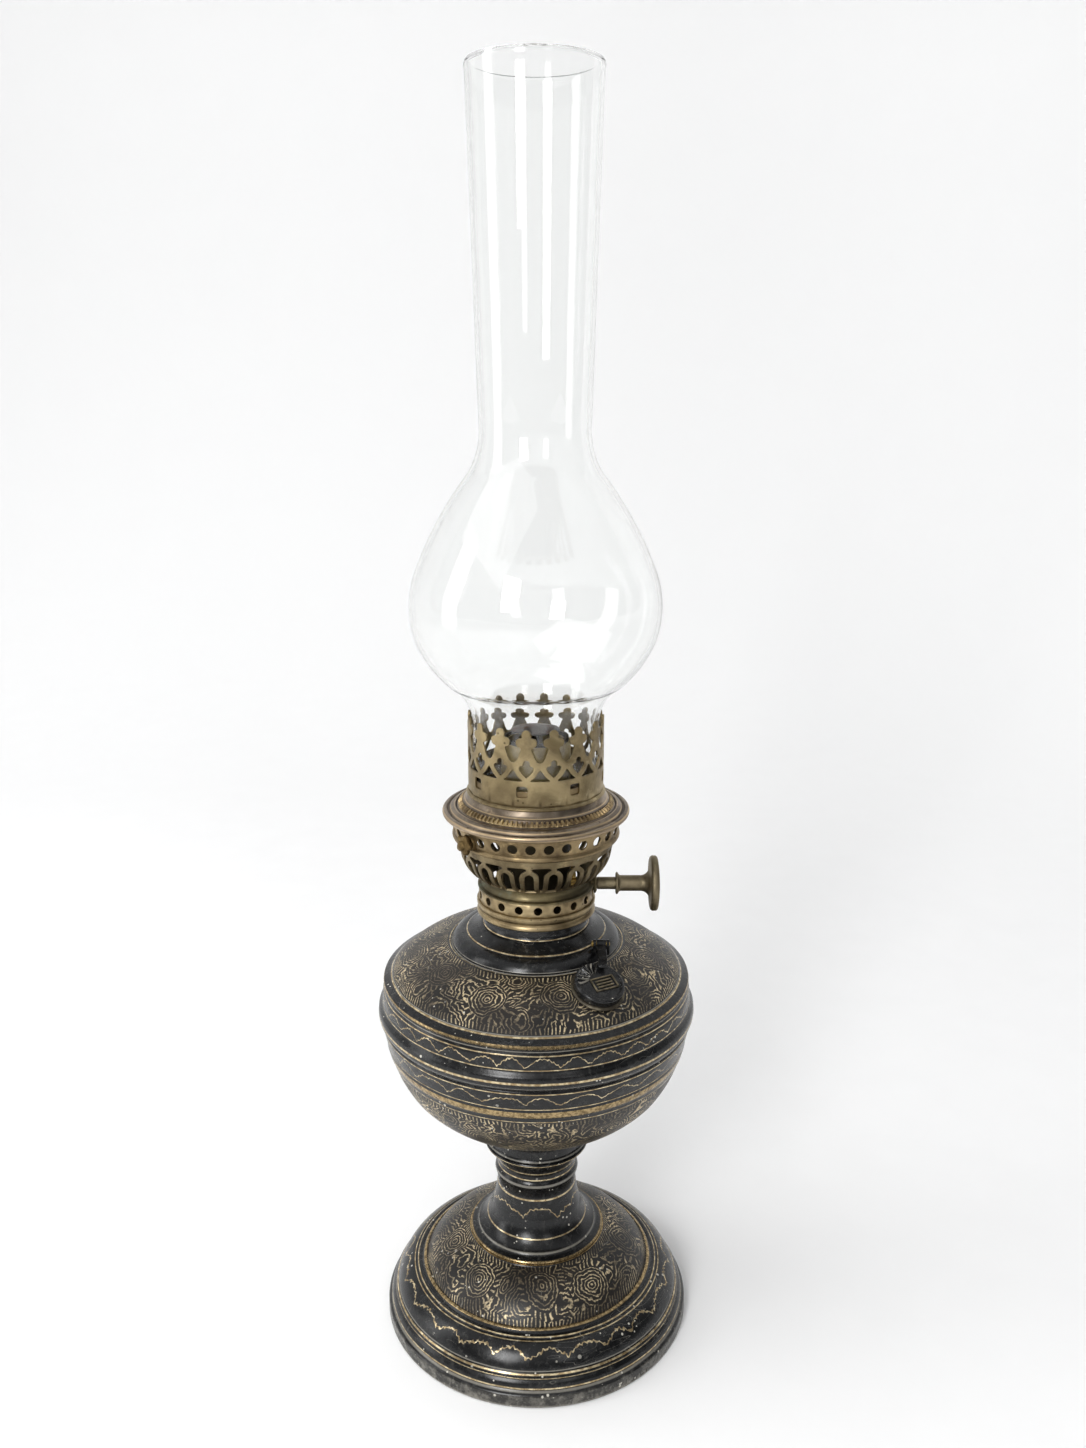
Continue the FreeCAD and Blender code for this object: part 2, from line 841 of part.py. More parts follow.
def burner_basket():
    low = d.vent_radius + 1.2
    high = d.basket_radius
    points = [
        (low, vent_top, -1, 0),
        ("bend", low + 5.6, vent_top + 7.4, -0.8, 0.6),
        (high - 0.5, basket_top - 6, -1, 0.2),
        (high, basket_top - 4, -1, 0),
        (high, basket_top, -1, 0),
    ]
    body = turned_body("burner_basket", shell_outline(points, d.burner_wall))
    half = d.arch_width / 2
    foot = vent_top + 1.8
    spring = vent_top + 10
    arch = [
        (-half * 0.62, foot),
        (half * 0.62, foot),
        (half, spring),
        (0, spring + 4),
        (-half, spring),
    ]
    cut_ring(body, "arch", [arch], high + 5, d.arch_count, -4.8)
    return body


def wick_tube():
    inner = d.wick_radius + d.wick_thickness / 2 + d.wick_clearance
    outer = inner + d.tube_wall
    tube = [
        (inner, vent_base - 14),
        (outer, vent_base - 14),
        (outer, tube_top - 2),
        (outer - 0.2, tube_top),
        (inner, tube_top),
    ]
    body = turned_body("wick_tube", tube)
    arm_gap = box(
        "arm_gap",
        (d.wick_radius - 3, d.pinion_reach),
        (d.pinion_radius - 0.6, d.pinion_radius + 3.6),
        (vent_base + 14, vent_base + 38),
    )
    duct_gap = box(
        "duct_gap",
        (-d.wick_radius - 4, -d.wick_radius + 4),
        (-d.duct_width / 2, d.duct_width / 2),
        (vent_base + 3, vent_base + 13),
    )
    return cut("wick_tube_outer", body, [arm_gap, duct_gap])


def draught_tube():
    outer = d.wick_radius - d.wick_thickness / 2 - d.wick_clearance
    inner = outer - d.tube_wall
    tube = [
        (0, vent_base - 14),
        (outer, vent_base - 14),
        (outer, tube_top),
        (inner, tube_top),
        (inner, vent_base - 13),
        (0, vent_base - 13),
    ]
    body = turned_body("draught_tube_shell", tube)
    duct_gap = box(
        "draught_gap",
        (-outer - 1, -inner + 3),
        (-d.duct_width / 2, d.duct_width / 2),
        (vent_base + 3, vent_base + 13),
    )
    return cut("draught_tube", body, [duct_gap])


def air_duct():
    """The duct that feeds the draught tube through the gap in the wick."""
    inner = d.wick_radius - d.wick_thickness / 2 - d.wick_clearance - d.tube_wall
    outer = d.wick_radius + d.wick_thickness / 2 + d.wick_clearance + d.tube_wall
    half = d.duct_width / 2
    low, high = vent_base + 3, vent_base + 13
    wall = d.tube_wall
    shell = box("duct_shell", (-outer - 1.5, -inner + 0.8), (-half, half), (low, high))
    hollow = box(
        "duct_hollow",
        (-outer - 2.5, -inner + 1.8),
        (-half + wall, half - wall),
        (low + wall, high - wall),
    )
    return cut("air_duct", shell, [hollow])


def spreader_seat():
    """The cross-bar in the draught tube that the flame spreader's stem stands in."""
    inner = d.wick_radius - d.wick_thickness / 2 - d.wick_clearance - d.tube_wall
    level = vent_base + 20
    stem = d.spreader_stem_radius
    hub = doc.addObject("Part::Cylinder", "seat_hub")
    hub.setExpression("Radius", (stem + 1.6).text)
    hub.Height = 6
    hub.setExpression("Placement.Base.z", level.text)
    along = box("seat_bar", (-inner + 0.05, inner - 0.05), (-1, 1), (level, level + 3))
    across = box("seat_cross", (-1, 1), (-inner + 0.05, inner - 0.05), (level, level + 3))
    hole = doc.addObject("Part::Cylinder", "seat_hole")
    hole.setExpression("Radius", (stem + 0.05).text)
    hole.Height = 8
    hole.setExpression("Placement.Base.z", (level + 1).text)
    return cut("spreader_seat", joined("seat_cross_bars", [hub, along, across]), [hole])


def wick():
    inner = d.wick_radius - d.wick_thickness / 2
    outer = d.wick_radius + d.wick_thickness / 2
    low = vent_base - d.wick_drop
    tube = [
        (inner, low),
        (outer, low),
        (outer, tube_top + 1.5),
        (inner, tube_top + 1.5),
    ]
    body = turned_body("wick_sleeve", tube)
    half = d.duct_width / 2 + 1.6
    gap = box(
        "wick_gap", (-outer - 1, -inner + 6), (-half, half), (low - 1, vent_base + 24)
    )
    return cut("wick", body, [gap])


def wick_carrier():
    """The toothed rack and the arm that grips the wick through the tube's slot."""
    outer = d.wick_radius + d.wick_thickness / 2
    back = d.pinion_reach + d.pinion_width
    tooth = math.pi * d.pinion_radius.value / d.pinion_teeth.value
    face = d.pinion_radius + 0.9 * tooth / 2 + 0.35
    low = spindle_level - 9
    high = spindle_level + 22
    bar = box("rack_bar", (d.pinion_reach, back), (face, face + 1.6), (low, high))
    teeth = []
    pitch = 2 * tooth
    depth = 0.9 * tooth
    count = 8
    start = spindle_level.value - 3 * pitch
    for number in range(count):
        centre = start + number * pitch
        root = face.value + 0.1
        tip = face.value - depth
        wide = 0.36 * pitch / 2 + 0.55
        narrow = 0.2
        corners = [
            Vector(0, root, centre - wide),
            Vector(0, tip, centre - narrow),
            Vector(0, tip, centre + narrow),
            Vector(0, root, centre + wide),
        ]
        wire = Part.makePolygon(corners + corners[:1])
        prism = Part.Face(wire).extrude(Vector(d.pinion_width.value, 0, 0))
        prism.translate(Vector(d.pinion_reach.value, 0, 0))
        teeth.append(prism)
    rack = doc.addObject("Part::Feature", "rack_teeth")
    rack.Shape = teeth[0].multiFuse(teeth[1:])
    arm_z = high - 4
    arm = box("rack_arm", (outer - 1, back), (face, face + 1.2), (arm_z, high))
    grip = doc.addObject("Part::Cylinder", "grip_limit")
    grip.setExpression("Radius", outer.text)
    grip.Height = 60
    grip.setExpression("Placement.Base.z", (arm_z - 10).text)
    trimmed = cut("rack_arm_trimmed", arm, [grip])
    return joined("wick_carrier", [bar, rack, trimmed])


def spindle_pieces():
    """The shaft with its pinion and the knob, all turning about the X direction."""
    start = d.pinion_reach
    shaft = cylinder_along_x(
        "spindle_shaft", d.spindle_radius, start, d.knob_reach - 6, 0, spindle_level
    )
    shaft.Label = "wick_spindle"
    pinion = pinion_piece()
    knob = knob_piece()
    return [shaft, pinion, knob]


def pinion_piece():
    teeth = int(d.pinion_teeth.value)
    pitch_r = d.pinion_radius.value
    tooth = math.pi * pitch_r / teeth
    root = pitch_r - 0.5 * tooth - 0.25
    tip = pitch_r + 0.45 * tooth
    step = 2 * math.pi / teeth
    corners = []
    for number in range(teeth):
        middle = number * step + step / 2
        for radius, turn in ((root, -0.26), (tip, -0.08), (tip, 0.08), (root, 0.26)):
            angle = middle + turn * step
            corners.append(Vector(0, radius * math.cos(angle), radius * math.sin(angle)))
    wire = Part.makePolygon(corners + corners[:1])
    solid = Part.Face(wire).extrude(Vector(d.pinion_width.value, 0, 0))
    bore = Part.makeCylinder(
        d.spindle_radius.value, d.pinion_width.value, Vector(), Vector(1, 0, 0)
    )
    made = doc.addObject("Part::Feature", "wick_pinion")
    made.Label = "wick_pinion"
    made.Shape = solid.cut(bore)
    made.Placement = App.Placement(
        Vector(d.pinion_reach.value, 0, spindle_level.value), App.Rotation()
    )
    return made


def knob_piece():
    """The knob, turned about its own Z axis and laid along X."""
    face = d.knob_reach
    base = face - d.knob_sleeve_length
    shaft = d.spindle_radius
    sleeve = d.knob_sleeve_radius
    rim = d.knob_radius
    end = face - 6
    body = turned_body("wick_knob", [
        (shaft, base),
        (sleeve + 1.1, base),
        (sleeve + 1.1, base + 1.1),
        (sleeve, base + 1.5),
        (sleeve, face - 8),
        bend(sleeve + 1, face - 5.2),
        (sleeve + 3.2, face - 4.1),
        (rim - 0.8, face - 3),
        bend(rim, face - 2.3),
        (rim - 0.6, face - 1.4),
        bend(rim * 0.55, face - 0.3),
        (0.8, face),
        (0, face),
        (0, end),
        (shaft, end),
    ])
    body.Placement = App.Placement(Vector(), App.Rotation(Vector(0, 1, 0), 90))
    body.setExpression("Placement.Base.z", spindle_level.text)
    return body


def flame_spreader():
    level = tube_top + d.spreader_rise
    r = d.spreader_radius
    disc = turned_body("spreader_disc", [
        (d.spreader_stem_radius, level),
        (r - 1, level),
        (r, level + 0.5),
        (r - 0.6, level + 1.2),
        bend(r * 0.5, level + 2),
        (0.8, level + 2.4),
        (0, level + 2.4),
        (0, level + 1.4),
        (d.spreader_stem_radius, level + 1.4),
    ])
    stem = doc.addObject("Part::Cylinder", "spreader_rod")
    stem.setExpression("Radius", d.spreader_stem_radius.text)
    low = vent_base + 21
    stem.setExpression("Height", (level + 1.4 - low).text)
    stem.setExpression("Placement.Base.z", low.text)
    stem.Label = "spreader_stem"
    return [disc, stem]


# ------------------------------------------------------- gallery and chimney


def gallery_skirt():
    """The pierced band that slips down over the basket's rim."""
    inner = d.basket_radius + d.gallery_clearance
    wall = d.burner_wall
    top = d.skirt_radius + 1.6
    middle = skirt_base + 3
    body = turned_body("skirt_turning", [
        (inner, skirt_base),
        (inner + 0.6, skirt_base - 0.2),
        bend(inner + 1.5, skirt_base + 0.8),
        (inner + 1, skirt_base + 1.8),
        (d.skirt_radius, middle),
        (top, skirt_top),
        (top - wall, skirt_top),
        (d.skirt_radius - wall, middle),
        (inner, skirt_base + 2),
    ])
    hole = (0, skirt_base + 5.6, d.skirt_hole_radius)
    cut_ring(body, "skirt_hole", [hole], top + 5, d.skirt_hole_count, -3.2)
    return cut("gallery_skirt", body, [lock_cylinder("lock_bore", lock_bore_radius())])


def lock_bore_radius():
    return d.lock_radius + d.lock_clearance


def lock_cylinder(name, radius, low=20, high=60):
    """A cylinder on the lock screw's axis, between two distances from the lamp's."""
    made = doc.addObject("Part::Cylinder", name)
    made.setExpression("Radius", as_size(radius).text)
    low, high = as_size(low), as_size(high)
    made.setExpression("Height", (high - low).text)
    along = App.Placement(Vector(0, 0, low.value), App.Rotation())
    made.Placement = lock_frame().multiply(along)
    return made


def lock_frame():
    """The lock screw's axis: level, and pointing out of the skirt."""
    lay = App.Rotation(Vector(1, 0, 0), 90)
    turn = App.Rotation(Vector(0, 0, 1), d.lock_azimuth.value)
    level = (skirt_base + 4.4).value
    return App.Placement(Vector(0, 0, level), turn.multiply(lay))


def lock_boss(skirt):
    """The tapped boss on the skirt that the lock screw turns in."""
    outer = d.basket_radius + 3.6
    boss = lock_cylinder("boss_blank", d.lock_radius + 1.5, d.skirt_radius - 1.2, outer)
    bore = lock_cylinder("boss_bore", lock_bore_radius())
    inside = doc.addObject("Part::Cone", "boss_limit")
    inside.setExpression("Radius1", (d.skirt_radius - 0.6).text)
    inside.setExpression("Radius2", (d.skirt_radius + 1.6 - d.burner_wall / 2).text)
    inside.setExpression("Height", (skirt_top - skirt_base - 3).text)
    inside.setExpression("Placement.Base.z", (skirt_base + 3).text)
    core = doc.addObject("Part::Cylinder", "boss_core")
    core.setExpression("Radius", (d.skirt_radius - 0.6).text)
    core.setExpression("Height", d.skirt_height.text)
    core.setExpression("Placement.Base.z", (skirt_base - 1).text)
    return cut("lock_boss", boss, [bore, core, inside, skirt])


def gallery_flange():
    """The dished flange, with its rolled rim and turned grooves."""
    rim = d.flange_radius
    wire = d.rim_wire_radius
    wall = d.burner_wall
    band = d.crown_radius
    low = skirt_top
    top = d.skirt_radius + 1.6
    body = turned_body("gallery_flange", [
        (top - wall, low),
        (top, low),
        (rim + wire * 0.3, low + 0.5),
        bend(rim + wire, low + 1.6),
        (rim + wire * 0.2, low + 3),
        (rim - 1.6, low + 3),
        (rim - 2.6, low + 3.4),
        bend(rim - 4, low + 4.8),
        (rim - 6, low + 5),
        (band + 3.2, crown_base - 3.4),
        (band + 1.6, crown_base - 1),
        (band + 0.2, crown_base),
        (band - 7, crown_base),
        (band - 7, crown_base - 0.8),
        (band, crown_base - 0.8),
        (band + 1.6, low + 6),
        (rim - 6, low + 4),
        (rim - 4, low + 2.4),
        (rim - 2, low + 1.4),
    ])
    return body


def serrated_ring():
    """The toothed ring that lies on the flange round the crown's foot."""
    r = d.crown_radius
    return turned_body("serrated_ring", [
        (r + 1.7, crown_base - 0.85),
        (r + 3.35, crown_base - 3.3),
        (r + 4.7, crown_base - 3.5),
        (r + 4.9, crown_base - 2.7),
        (r + 3.8, crown_base - 2.4),
        (r + 2.5, crown_base - 0.3),
    ])


def gallery_crown():
    r = d.crown_radius
    wall = d.crown_wall
    base = crown_base
    top = crown_band_top
    body = turned_body("gallery_crown", [
        (r - wall, base),
        (r + 0.5, base),
        (r + 0.5, base + 0.8),
        (r, base + 1.4),
        (r, crown_tip),
        (r - wall, crown_tip),
    ])
    reach = r + 5
    half = r * math.pi / d.crown_point_count
    flat = 0.4
    turn = 180 / d.crown_point_count - 7.4
    valley = [
        (-half + flat, crown_tip + 1),
        (-half + flat, crown_tip),
        bend(-half + 1.8, crown_tip - 0.7),
        (-half + 1.9, crown_tip - 2.3),
        bend(-half + 4.1, crown_tip - 3.8),
        (-half + 1.9, crown_tip - 5.9),
        bend(-half + 2.5, crown_tip - 9.9),
        (-1.2, top + 9.2),
        bend(0, top + 8.6),
        (1.2, top + 9.2),
        bend(half - 2.5, crown_tip - 9.9),
        (half - 1.9, crown_tip - 5.9),
        bend(half - 4.1, crown_tip - 3.8),
        (half - 1.9, crown_tip - 2.3),
        bend(half - 1.8, crown_tip - 0.7),
        (half - flat, crown_tip),
        (half - flat, crown_tip + 1),
    ]
    opening = [
        (-3.1, top + 0.9),
        (3.1, top + 0.9),
        bend(1.6, top + 2.6),
        (0, top + 5),
        bend(-1.6, top + 2.6),
    ]
    cut_ring(body, "crown_valley", [valley, opening], reach, d.crown_point_count, turn)
    middle = top + 6
    cross = [
        (0, middle - 3.4),
        (2.4, middle - 0.4),
        bend(2.3, middle + 1.2),
        (1.1, middle + 1.2),
        bend(1.4, middle + 2.8),
        (0, middle + 3.3),
        bend(-1.4, middle + 2.8),
        (-1.1, middle + 1.2),
        bend(-2.3, middle + 1.2),
        (-2.4, middle - 0.4),
    ]
    cut_ring(body, "crown_cross", [cross], reach, d.crown_point_count, -7.4)
    slot = [(-2.1, top - 5.6), (2.1, top - 5.6), (2.1, top - 1.4), (-2.1, top - 1.4)]
    cut_ring(body, "crown_slot", [slot], reach, d.crown_slot_count, -11)
    return body


def chimney_spring():
    """The split ring inside the crown that grips the glass."""
    inner = d.chimney_fitter_radius + 0.35
    outer = d.crown_radius - d.crown_wall
    low = crown_base + 3
    return turned_body("chimney_spring", [
        (inner + 0.3, low),
        (outer, low),
        (outer, low + 5),
        (inner + 0.3, low + 5),
        (inner, low + 2.5),
    ])


def chimney_glass():
    base = chimney_base
    wall = d.glass_wall
    fitter = d.chimney_fitter_radius
    ball = d.chimney_ball_radius
    throat = d.chimney_throat_radius
    mouth = d.chimney_top_radius
    top = base + d.chimney_height
    ball_z = base + 76
    throat_z = base + 146
    points = [
        (fitter, base, -1, 0),
        (fitter, base + 30, -1, 0),
        ("bend", fitter + 2.2, base + 37, -0.9, 0.45),
        (fitter + 9.6, base + 44.6, -0.7, 0.7),
        ("bend", ball - 7.6, base + 53.2, -0.75, 0.65),
        (ball - 2.6, base + 62, -0.9, 0.4),
        ("bend", ball, ball_z, -1, 0),
        (ball - 3.2, base + 92.4, -0.95, -0.3),
        ("bend", ball - 12, base + 111, -0.82, -0.58),
        (throat + 4.6, base + 130, -0.9, -0.4),
        ("bend", throat + 1, base + 138.6, -1, -0.2),
        (throat, throat_z, -1, 0),
        (throat + 1.4, base + 196, -1, 0),
        (mouth - 0.2, top - 3, -1, 0),
        ("bend", mouth, top - 1, -1, -0.2),
        (mouth - 0.5, top, -0.6, -0.1),
    ]
    return turned_body("chimney_glass", shell_outline(points, wall))


def lock_screw():
    """The thumbscrew through the skirt that holds the gallery on the basket."""
    tip = d.basket_radius + 0.15
    body = turned_body("lock_screw", [
        (0, tip),
        (d.lock_radius, tip),
        (d.lock_radius, tip + 3.8),
        (d.lock_head_radius - 1, tip + 3.8),
        bend(d.lock_head_radius, tip + 5.2),
        (d.lock_head_radius - 1, tip + 6.6),
        (d.lock_head_radius - 2.6, tip + 7.2),
        bend(1.3, tip + 8),
        (0.6, tip + 8.2),
        (0, tip + 8.2),
    ])
    body.Placement = lock_frame()
    return body


# --------------------------------------------------------------------- build

frame = filler_frame()
nodes = [
    foot_shell(),
    stem_column(),
    font_cup(),
    font_bowl(),
    font_shoulder(frame),
    font_collar(),
    tie_rod(),
]
nodes += foot_fixing()
nodes += font_fixing()
nodes += filler_pieces(frame)
nodes += hinge_pieces(frame)
nodes += [
    burner_base(),
    vent_collar(),
    spindle_bush(),
    spindle_bracket(),
    burner_basket(),
    wick_tube(),
    draught_tube(),
    air_duct(),
    spreader_seat(),
    wick(),
    wick_carrier(),
]
nodes += spindle_pieces()
nodes += flame_spreader()
skirt = gallery_skirt()
nodes += [
    skirt,
    lock_boss(skirt),
    gallery_flange(),
    serrated_ring(),
    gallery_crown(),
    chimney_spring(),
    chimney_glass(),
    lock_screw(),
]

doc.recompute()
for item in doc.Objects:
    for word in ("Invalid", "Error"):
        if word in item.State:
            raise ValueError(f"{item.Label} is {item.State}")

os.makedirs("parts", exist_ok=True)
for node in nodes:
    shape = node.Shape
    if shape.isNull() or not shape.isValid() or not shape.Solids:
        raise ValueError(f"{node.Label} has no valid solid")
    shape.exportStep(f"parts/{node.Label}.step")
    print(node.Label, len(shape.Solids), round(shape.Volume, 1))
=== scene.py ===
import bpy
import math
from mathutils import Matrix, Vector, geometry


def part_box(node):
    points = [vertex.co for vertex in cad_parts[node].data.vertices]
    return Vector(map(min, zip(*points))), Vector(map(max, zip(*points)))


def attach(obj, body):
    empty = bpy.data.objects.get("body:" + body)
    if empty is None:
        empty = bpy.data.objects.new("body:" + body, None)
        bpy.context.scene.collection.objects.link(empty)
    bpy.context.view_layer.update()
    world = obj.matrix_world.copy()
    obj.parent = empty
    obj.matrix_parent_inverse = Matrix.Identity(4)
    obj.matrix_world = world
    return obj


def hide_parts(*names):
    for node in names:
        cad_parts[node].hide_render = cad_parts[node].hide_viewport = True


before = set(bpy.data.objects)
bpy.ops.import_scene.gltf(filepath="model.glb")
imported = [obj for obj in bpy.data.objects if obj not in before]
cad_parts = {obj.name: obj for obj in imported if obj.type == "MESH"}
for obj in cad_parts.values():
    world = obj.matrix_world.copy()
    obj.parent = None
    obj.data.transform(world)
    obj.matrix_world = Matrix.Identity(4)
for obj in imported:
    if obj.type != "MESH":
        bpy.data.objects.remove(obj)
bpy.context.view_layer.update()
mm = 0.001
turn = 2 * math.pi


# ---- where things are, read off the frame

def top(node):
    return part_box(node)[1].z


def bottom(node):
    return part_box(node)[0].z


def reach(node):
    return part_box(node)[1].x


# ---- outlines

def bend(r, z):
    return ("bend", r, z)


def circleCentre(a, m, b):
    # the centre of the circle through three points, or nothing on a straight line
    ax, ay = a
    mx, my = m
    bx, by = b
    spread = 2 * (ax * (my - by) + mx * (by - ay) + bx * (ay - my))
    if abs(spread) < 1e-12:
        return None
    sa, sm, sb = ax * ax + ay * ay, mx * mx + my * my, bx * bx + by * by
    return ((sa * (my - by) + sm * (by - ay) + sb * (ay - my)) / spread,
            (sa * (bx - mx) + sm * (ax - bx) + sb * (mx - ax)) / spread)


def arcPoints(a, m, b, step):
    # the points of the arc from a through m to b, without a
    centre = circleCentre(a, m, b)
    if centre is None:
        return [b]
    cx, cy = centre
    radius = math.hypot(a[0] - cx, a[1] - cy)
    start, middle, end = (math.atan2(y - cy, x - cx) for x, y in (a, m, b))
    sweep = (end - start) % turn
    if (middle - start) % turn > sweep:
        sweep -= turn
    count = max(3, int(abs(sweep) * radius / step))
    found = []
    for i in range(1, count + 1):
        t = start + sweep * i / count
        found.append((cx + radius * math.cos(t), cy + radius * math.sin(t)))
    return found


def profile(points, step=0.9 * mm):
    # corners and bends, in metres, as one line of points
    found = [points[0]]
    bent = None
    for p in points[1:]:
        if p[0] == "bend":
            bent = (p[1], p[2])
            continue
        if bent:
            found += arcPoints(found[-1], bent, p, step)
            bent = None
            continue
        a = found[-1]
        count = max(1, int(math.dist(a, p) / (3 * step)))
        for i in range(1, count + 1):
            t = i / count
            found.append((a[0] + (p[0] - a[0]) * t, a[1] + (p[1] - a[1]) * t))
    return found


# ---- meshes

def newPiece(name, vertices, faces, body, material, replaces=(), sharp=38):
    mesh = bpy.data.meshes.new(name)
    mesh.from_pydata(vertices, [], faces)
    mesh.validate()
    mesh.update()
    mesh.shade_smooth()
    mesh.set_sharp_from_angle(angle=math.radians(sharp))
    piece = bpy.data.objects.new(name, mesh)
    bpy.context.scene.collection.objects.link(piece)
    mesh.materials.append(material)
    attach(piece, body)
    if replaces:
        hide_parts(*replaces)
    return piece


def soften(piece, width, angle=40):
    # rounds the corners sharper than the angle
    soft = piece.modifiers.new("edge", "BEVEL")
    soft.width = width
    soft.segments = 2
    soft.limit_method = "ANGLE"
    soft.angle_limit = math.radians(angle)


def lathe(name, outline, body, material, replaces=(), segments=192, sharp=38,
          at=None, shape=None):
    # turns a closed outline of (r, z) about Z; a point on the axis becomes one vertex.
    # shape may move each vertex before the piece is laid at its place
    vertices = []
    rings = []
    for r, z in outline:
        if r < 1e-6:
            rings.append([len(vertices)])
            vertices.append((0.0, 0.0, z))
            continue
        ring = []
        for i in range(segments):
            a = turn * i / segments
            ring.append(len(vertices))
            vertices.append((r * math.sin(a), -r * math.cos(a), z))
        rings.append(ring)
    faces = []
    for low, high in zip(rings, rings[1:] + rings[:1]):
        if len(low) == 1 and len(high) == 1:
            continue
        for i in range(segments):
            j = (i + 1) % segments
            if len(low) == 1:
                faces.append((low[0], high[j], high[i]))
            elif len(high) == 1:
                faces.append((low[i], low[j], high[0]))
            else:
                faces.append((low[i], low[j], high[j], high[i]))
    if shape is not None:
        vertices = [shape(*v) for v in vertices]
    if at is not None:
        vertices = [tuple(at @ Vector(v)) for v in vertices]
    newPiece(name, vertices, faces, body, material, replaces, sharp)


def shell(points, wall, wide=0.9 * mm):
    # a thin wall: the outer outline, then the same line one wall further in
    outer = profile(points, wide)
    inner = []
    for i, (r, z) in enumerate(outer):
        a = outer[max(i - 1, 0)]
        b = outer[min(i + 1, len(outer) - 1)]
        dr, dz = b[0] - a[0], b[1] - a[1]
        size = math.hypot(dr, dz) or 1.0
        inner.append((r - dz / size * wall, z + dr / size * wall))
    return outer + inner[::-1]


def insidePolygon(p, polygon):
    hit = False
    for (ax, ay), (bx, by) in zip(polygon, polygon[1:] + polygon[:1]):
        if (ay > p[1]) != (by > p[1]) and p[0] < (bx - ax) * (p[1] - ay) / (by - ay) + ax:
            hit = not hit
    return hit


def flatTile(outer, holes, grid):
    # triangles of a flat plate with holes; grid points keep it fine enough to bend
    points = [Vector(p) for p in outer]
    edges = [(i, (i + 1) % len(outer)) for i in range(len(outer))]
    for hole in holes:
        first = len(points)
        points += [Vector(p) for p in hole]
        edges += [(first + i, first + (i + 1) % len(hole)) for i in range(len(hole))]
    for p in grid:
        if insidePolygon(p, outer) and not any(insidePolygon(p, h) for h in holes):
            points.append(Vector(p))
    made = geometry.delaunay_2d_cdt(points, edges, [], 0, 1e-9)
    flat, triangles = made[0], made[2]
    kept = []
    for t in triangles:
        x = sum(flat[i].x for i in t) / 3
        y = sum(flat[i].y for i in t) / 3
        if insidePolygon((x, y), outer) and not any(insidePolygon((x, y), h) for h in holes):
            kept.append(tuple(t))
    return [(v.x, v.y) for v in flat], kept


def along(line, t):
    # the point a share t along a line of points
    lengths = [math.dist(a, b) for a, b in zip(line, line[1:])]
    want = t * sum(lengths)
    for (a, b), size in zip(zip(line, line[1:]), lengths):
        if want <= size:
            u = want / size if size else 0
            return a[0] + (b[0] - a[0]) * u, a[1] + (b[1] - a[1]) * u
        want -= size
    return line[-1]


def piercedRing(name, outer, holes, count, line, thickness, body, material,
                replaces, turned, bevel, fine):
    # one tile (x: -0.5 to 0.5 of a repeat, y: 0 to 1 up the line) repeated round Z;
    # holes may be several sets, which take turns
    sets = holes if holes and isinstance(holes[0][0], list) else [holes]
    across, up = fine
    grid = [(-0.5 + i / across, j / up) for i in range(1, across) for j in range(1, up)]
    tiles = [flatTile(outer, found, grid) for found in sets]
    vertices = []
    faces = []
    seen = {}
    for k in range(count):
        flat, triangles = tiles[k % len(tiles)]
        index = {}
        for i, (x, y) in enumerate(flat):
            r, z = along(line, min(max(y, 0.0), 1.0))
            a = turn * (k + x) / count + turned
            v = (r * math.sin(a), -r * math.cos(a), z)
            key = tuple(round(c * 2e6) for c in v)
            if key not in seen:
                seen[key] = len(vertices)
                vertices.append(v)
            index[i] = seen[key]
        for t in triangles:
            face = tuple(index[i] for i in t)
            if len(set(face)) == 3:
                faces.append(face)
    piece = newPiece(name, vertices, faces, body, material, replaces)
    thick = piece.modifiers.new("wall", "SOLIDIFY")
    thick.thickness = thickness
    thick.offset = -1
    soften(piece, bevel, 50)


def circlePoints(x, y, rx, ry, count=28):
    return [
        (x + rx * math.cos(turn * i / count), y + ry * math.sin(turn * i / count))
        for i in range(count)
    ]


def roundedPath(points, rounds, count=5):
    # a closed polygon whose corners are cut round; rounds gives each corner's share
    found = []
    total = len(points)
    for i, p in enumerate(points):
        a, b = points[i - 1], points[(i + 1) % total]
        share = rounds[i] if isinstance(rounds, (list, tuple)) else rounds
        if share <= 0:
            found.append(p)
            continue
        start = (p[0] + (a[0] - p[0]) * share, p[1] + (a[1] - p[1]) * share)
        end = (p[0] + (b[0] - p[0]) * share, p[1] + (b[1] - p[1]) * share)
        for k in range(count + 1):
            t = k / count
            found.append((
                (1 - t) ** 2 * start[0] + 2 * t * (1 - t) * p[0] + t * t * end[0],
                (1 - t) ** 2 * start[1] + 2 * t * (1 - t) * p[1] + t * t * end[1],
            ))
    return found


# ---- shader maths

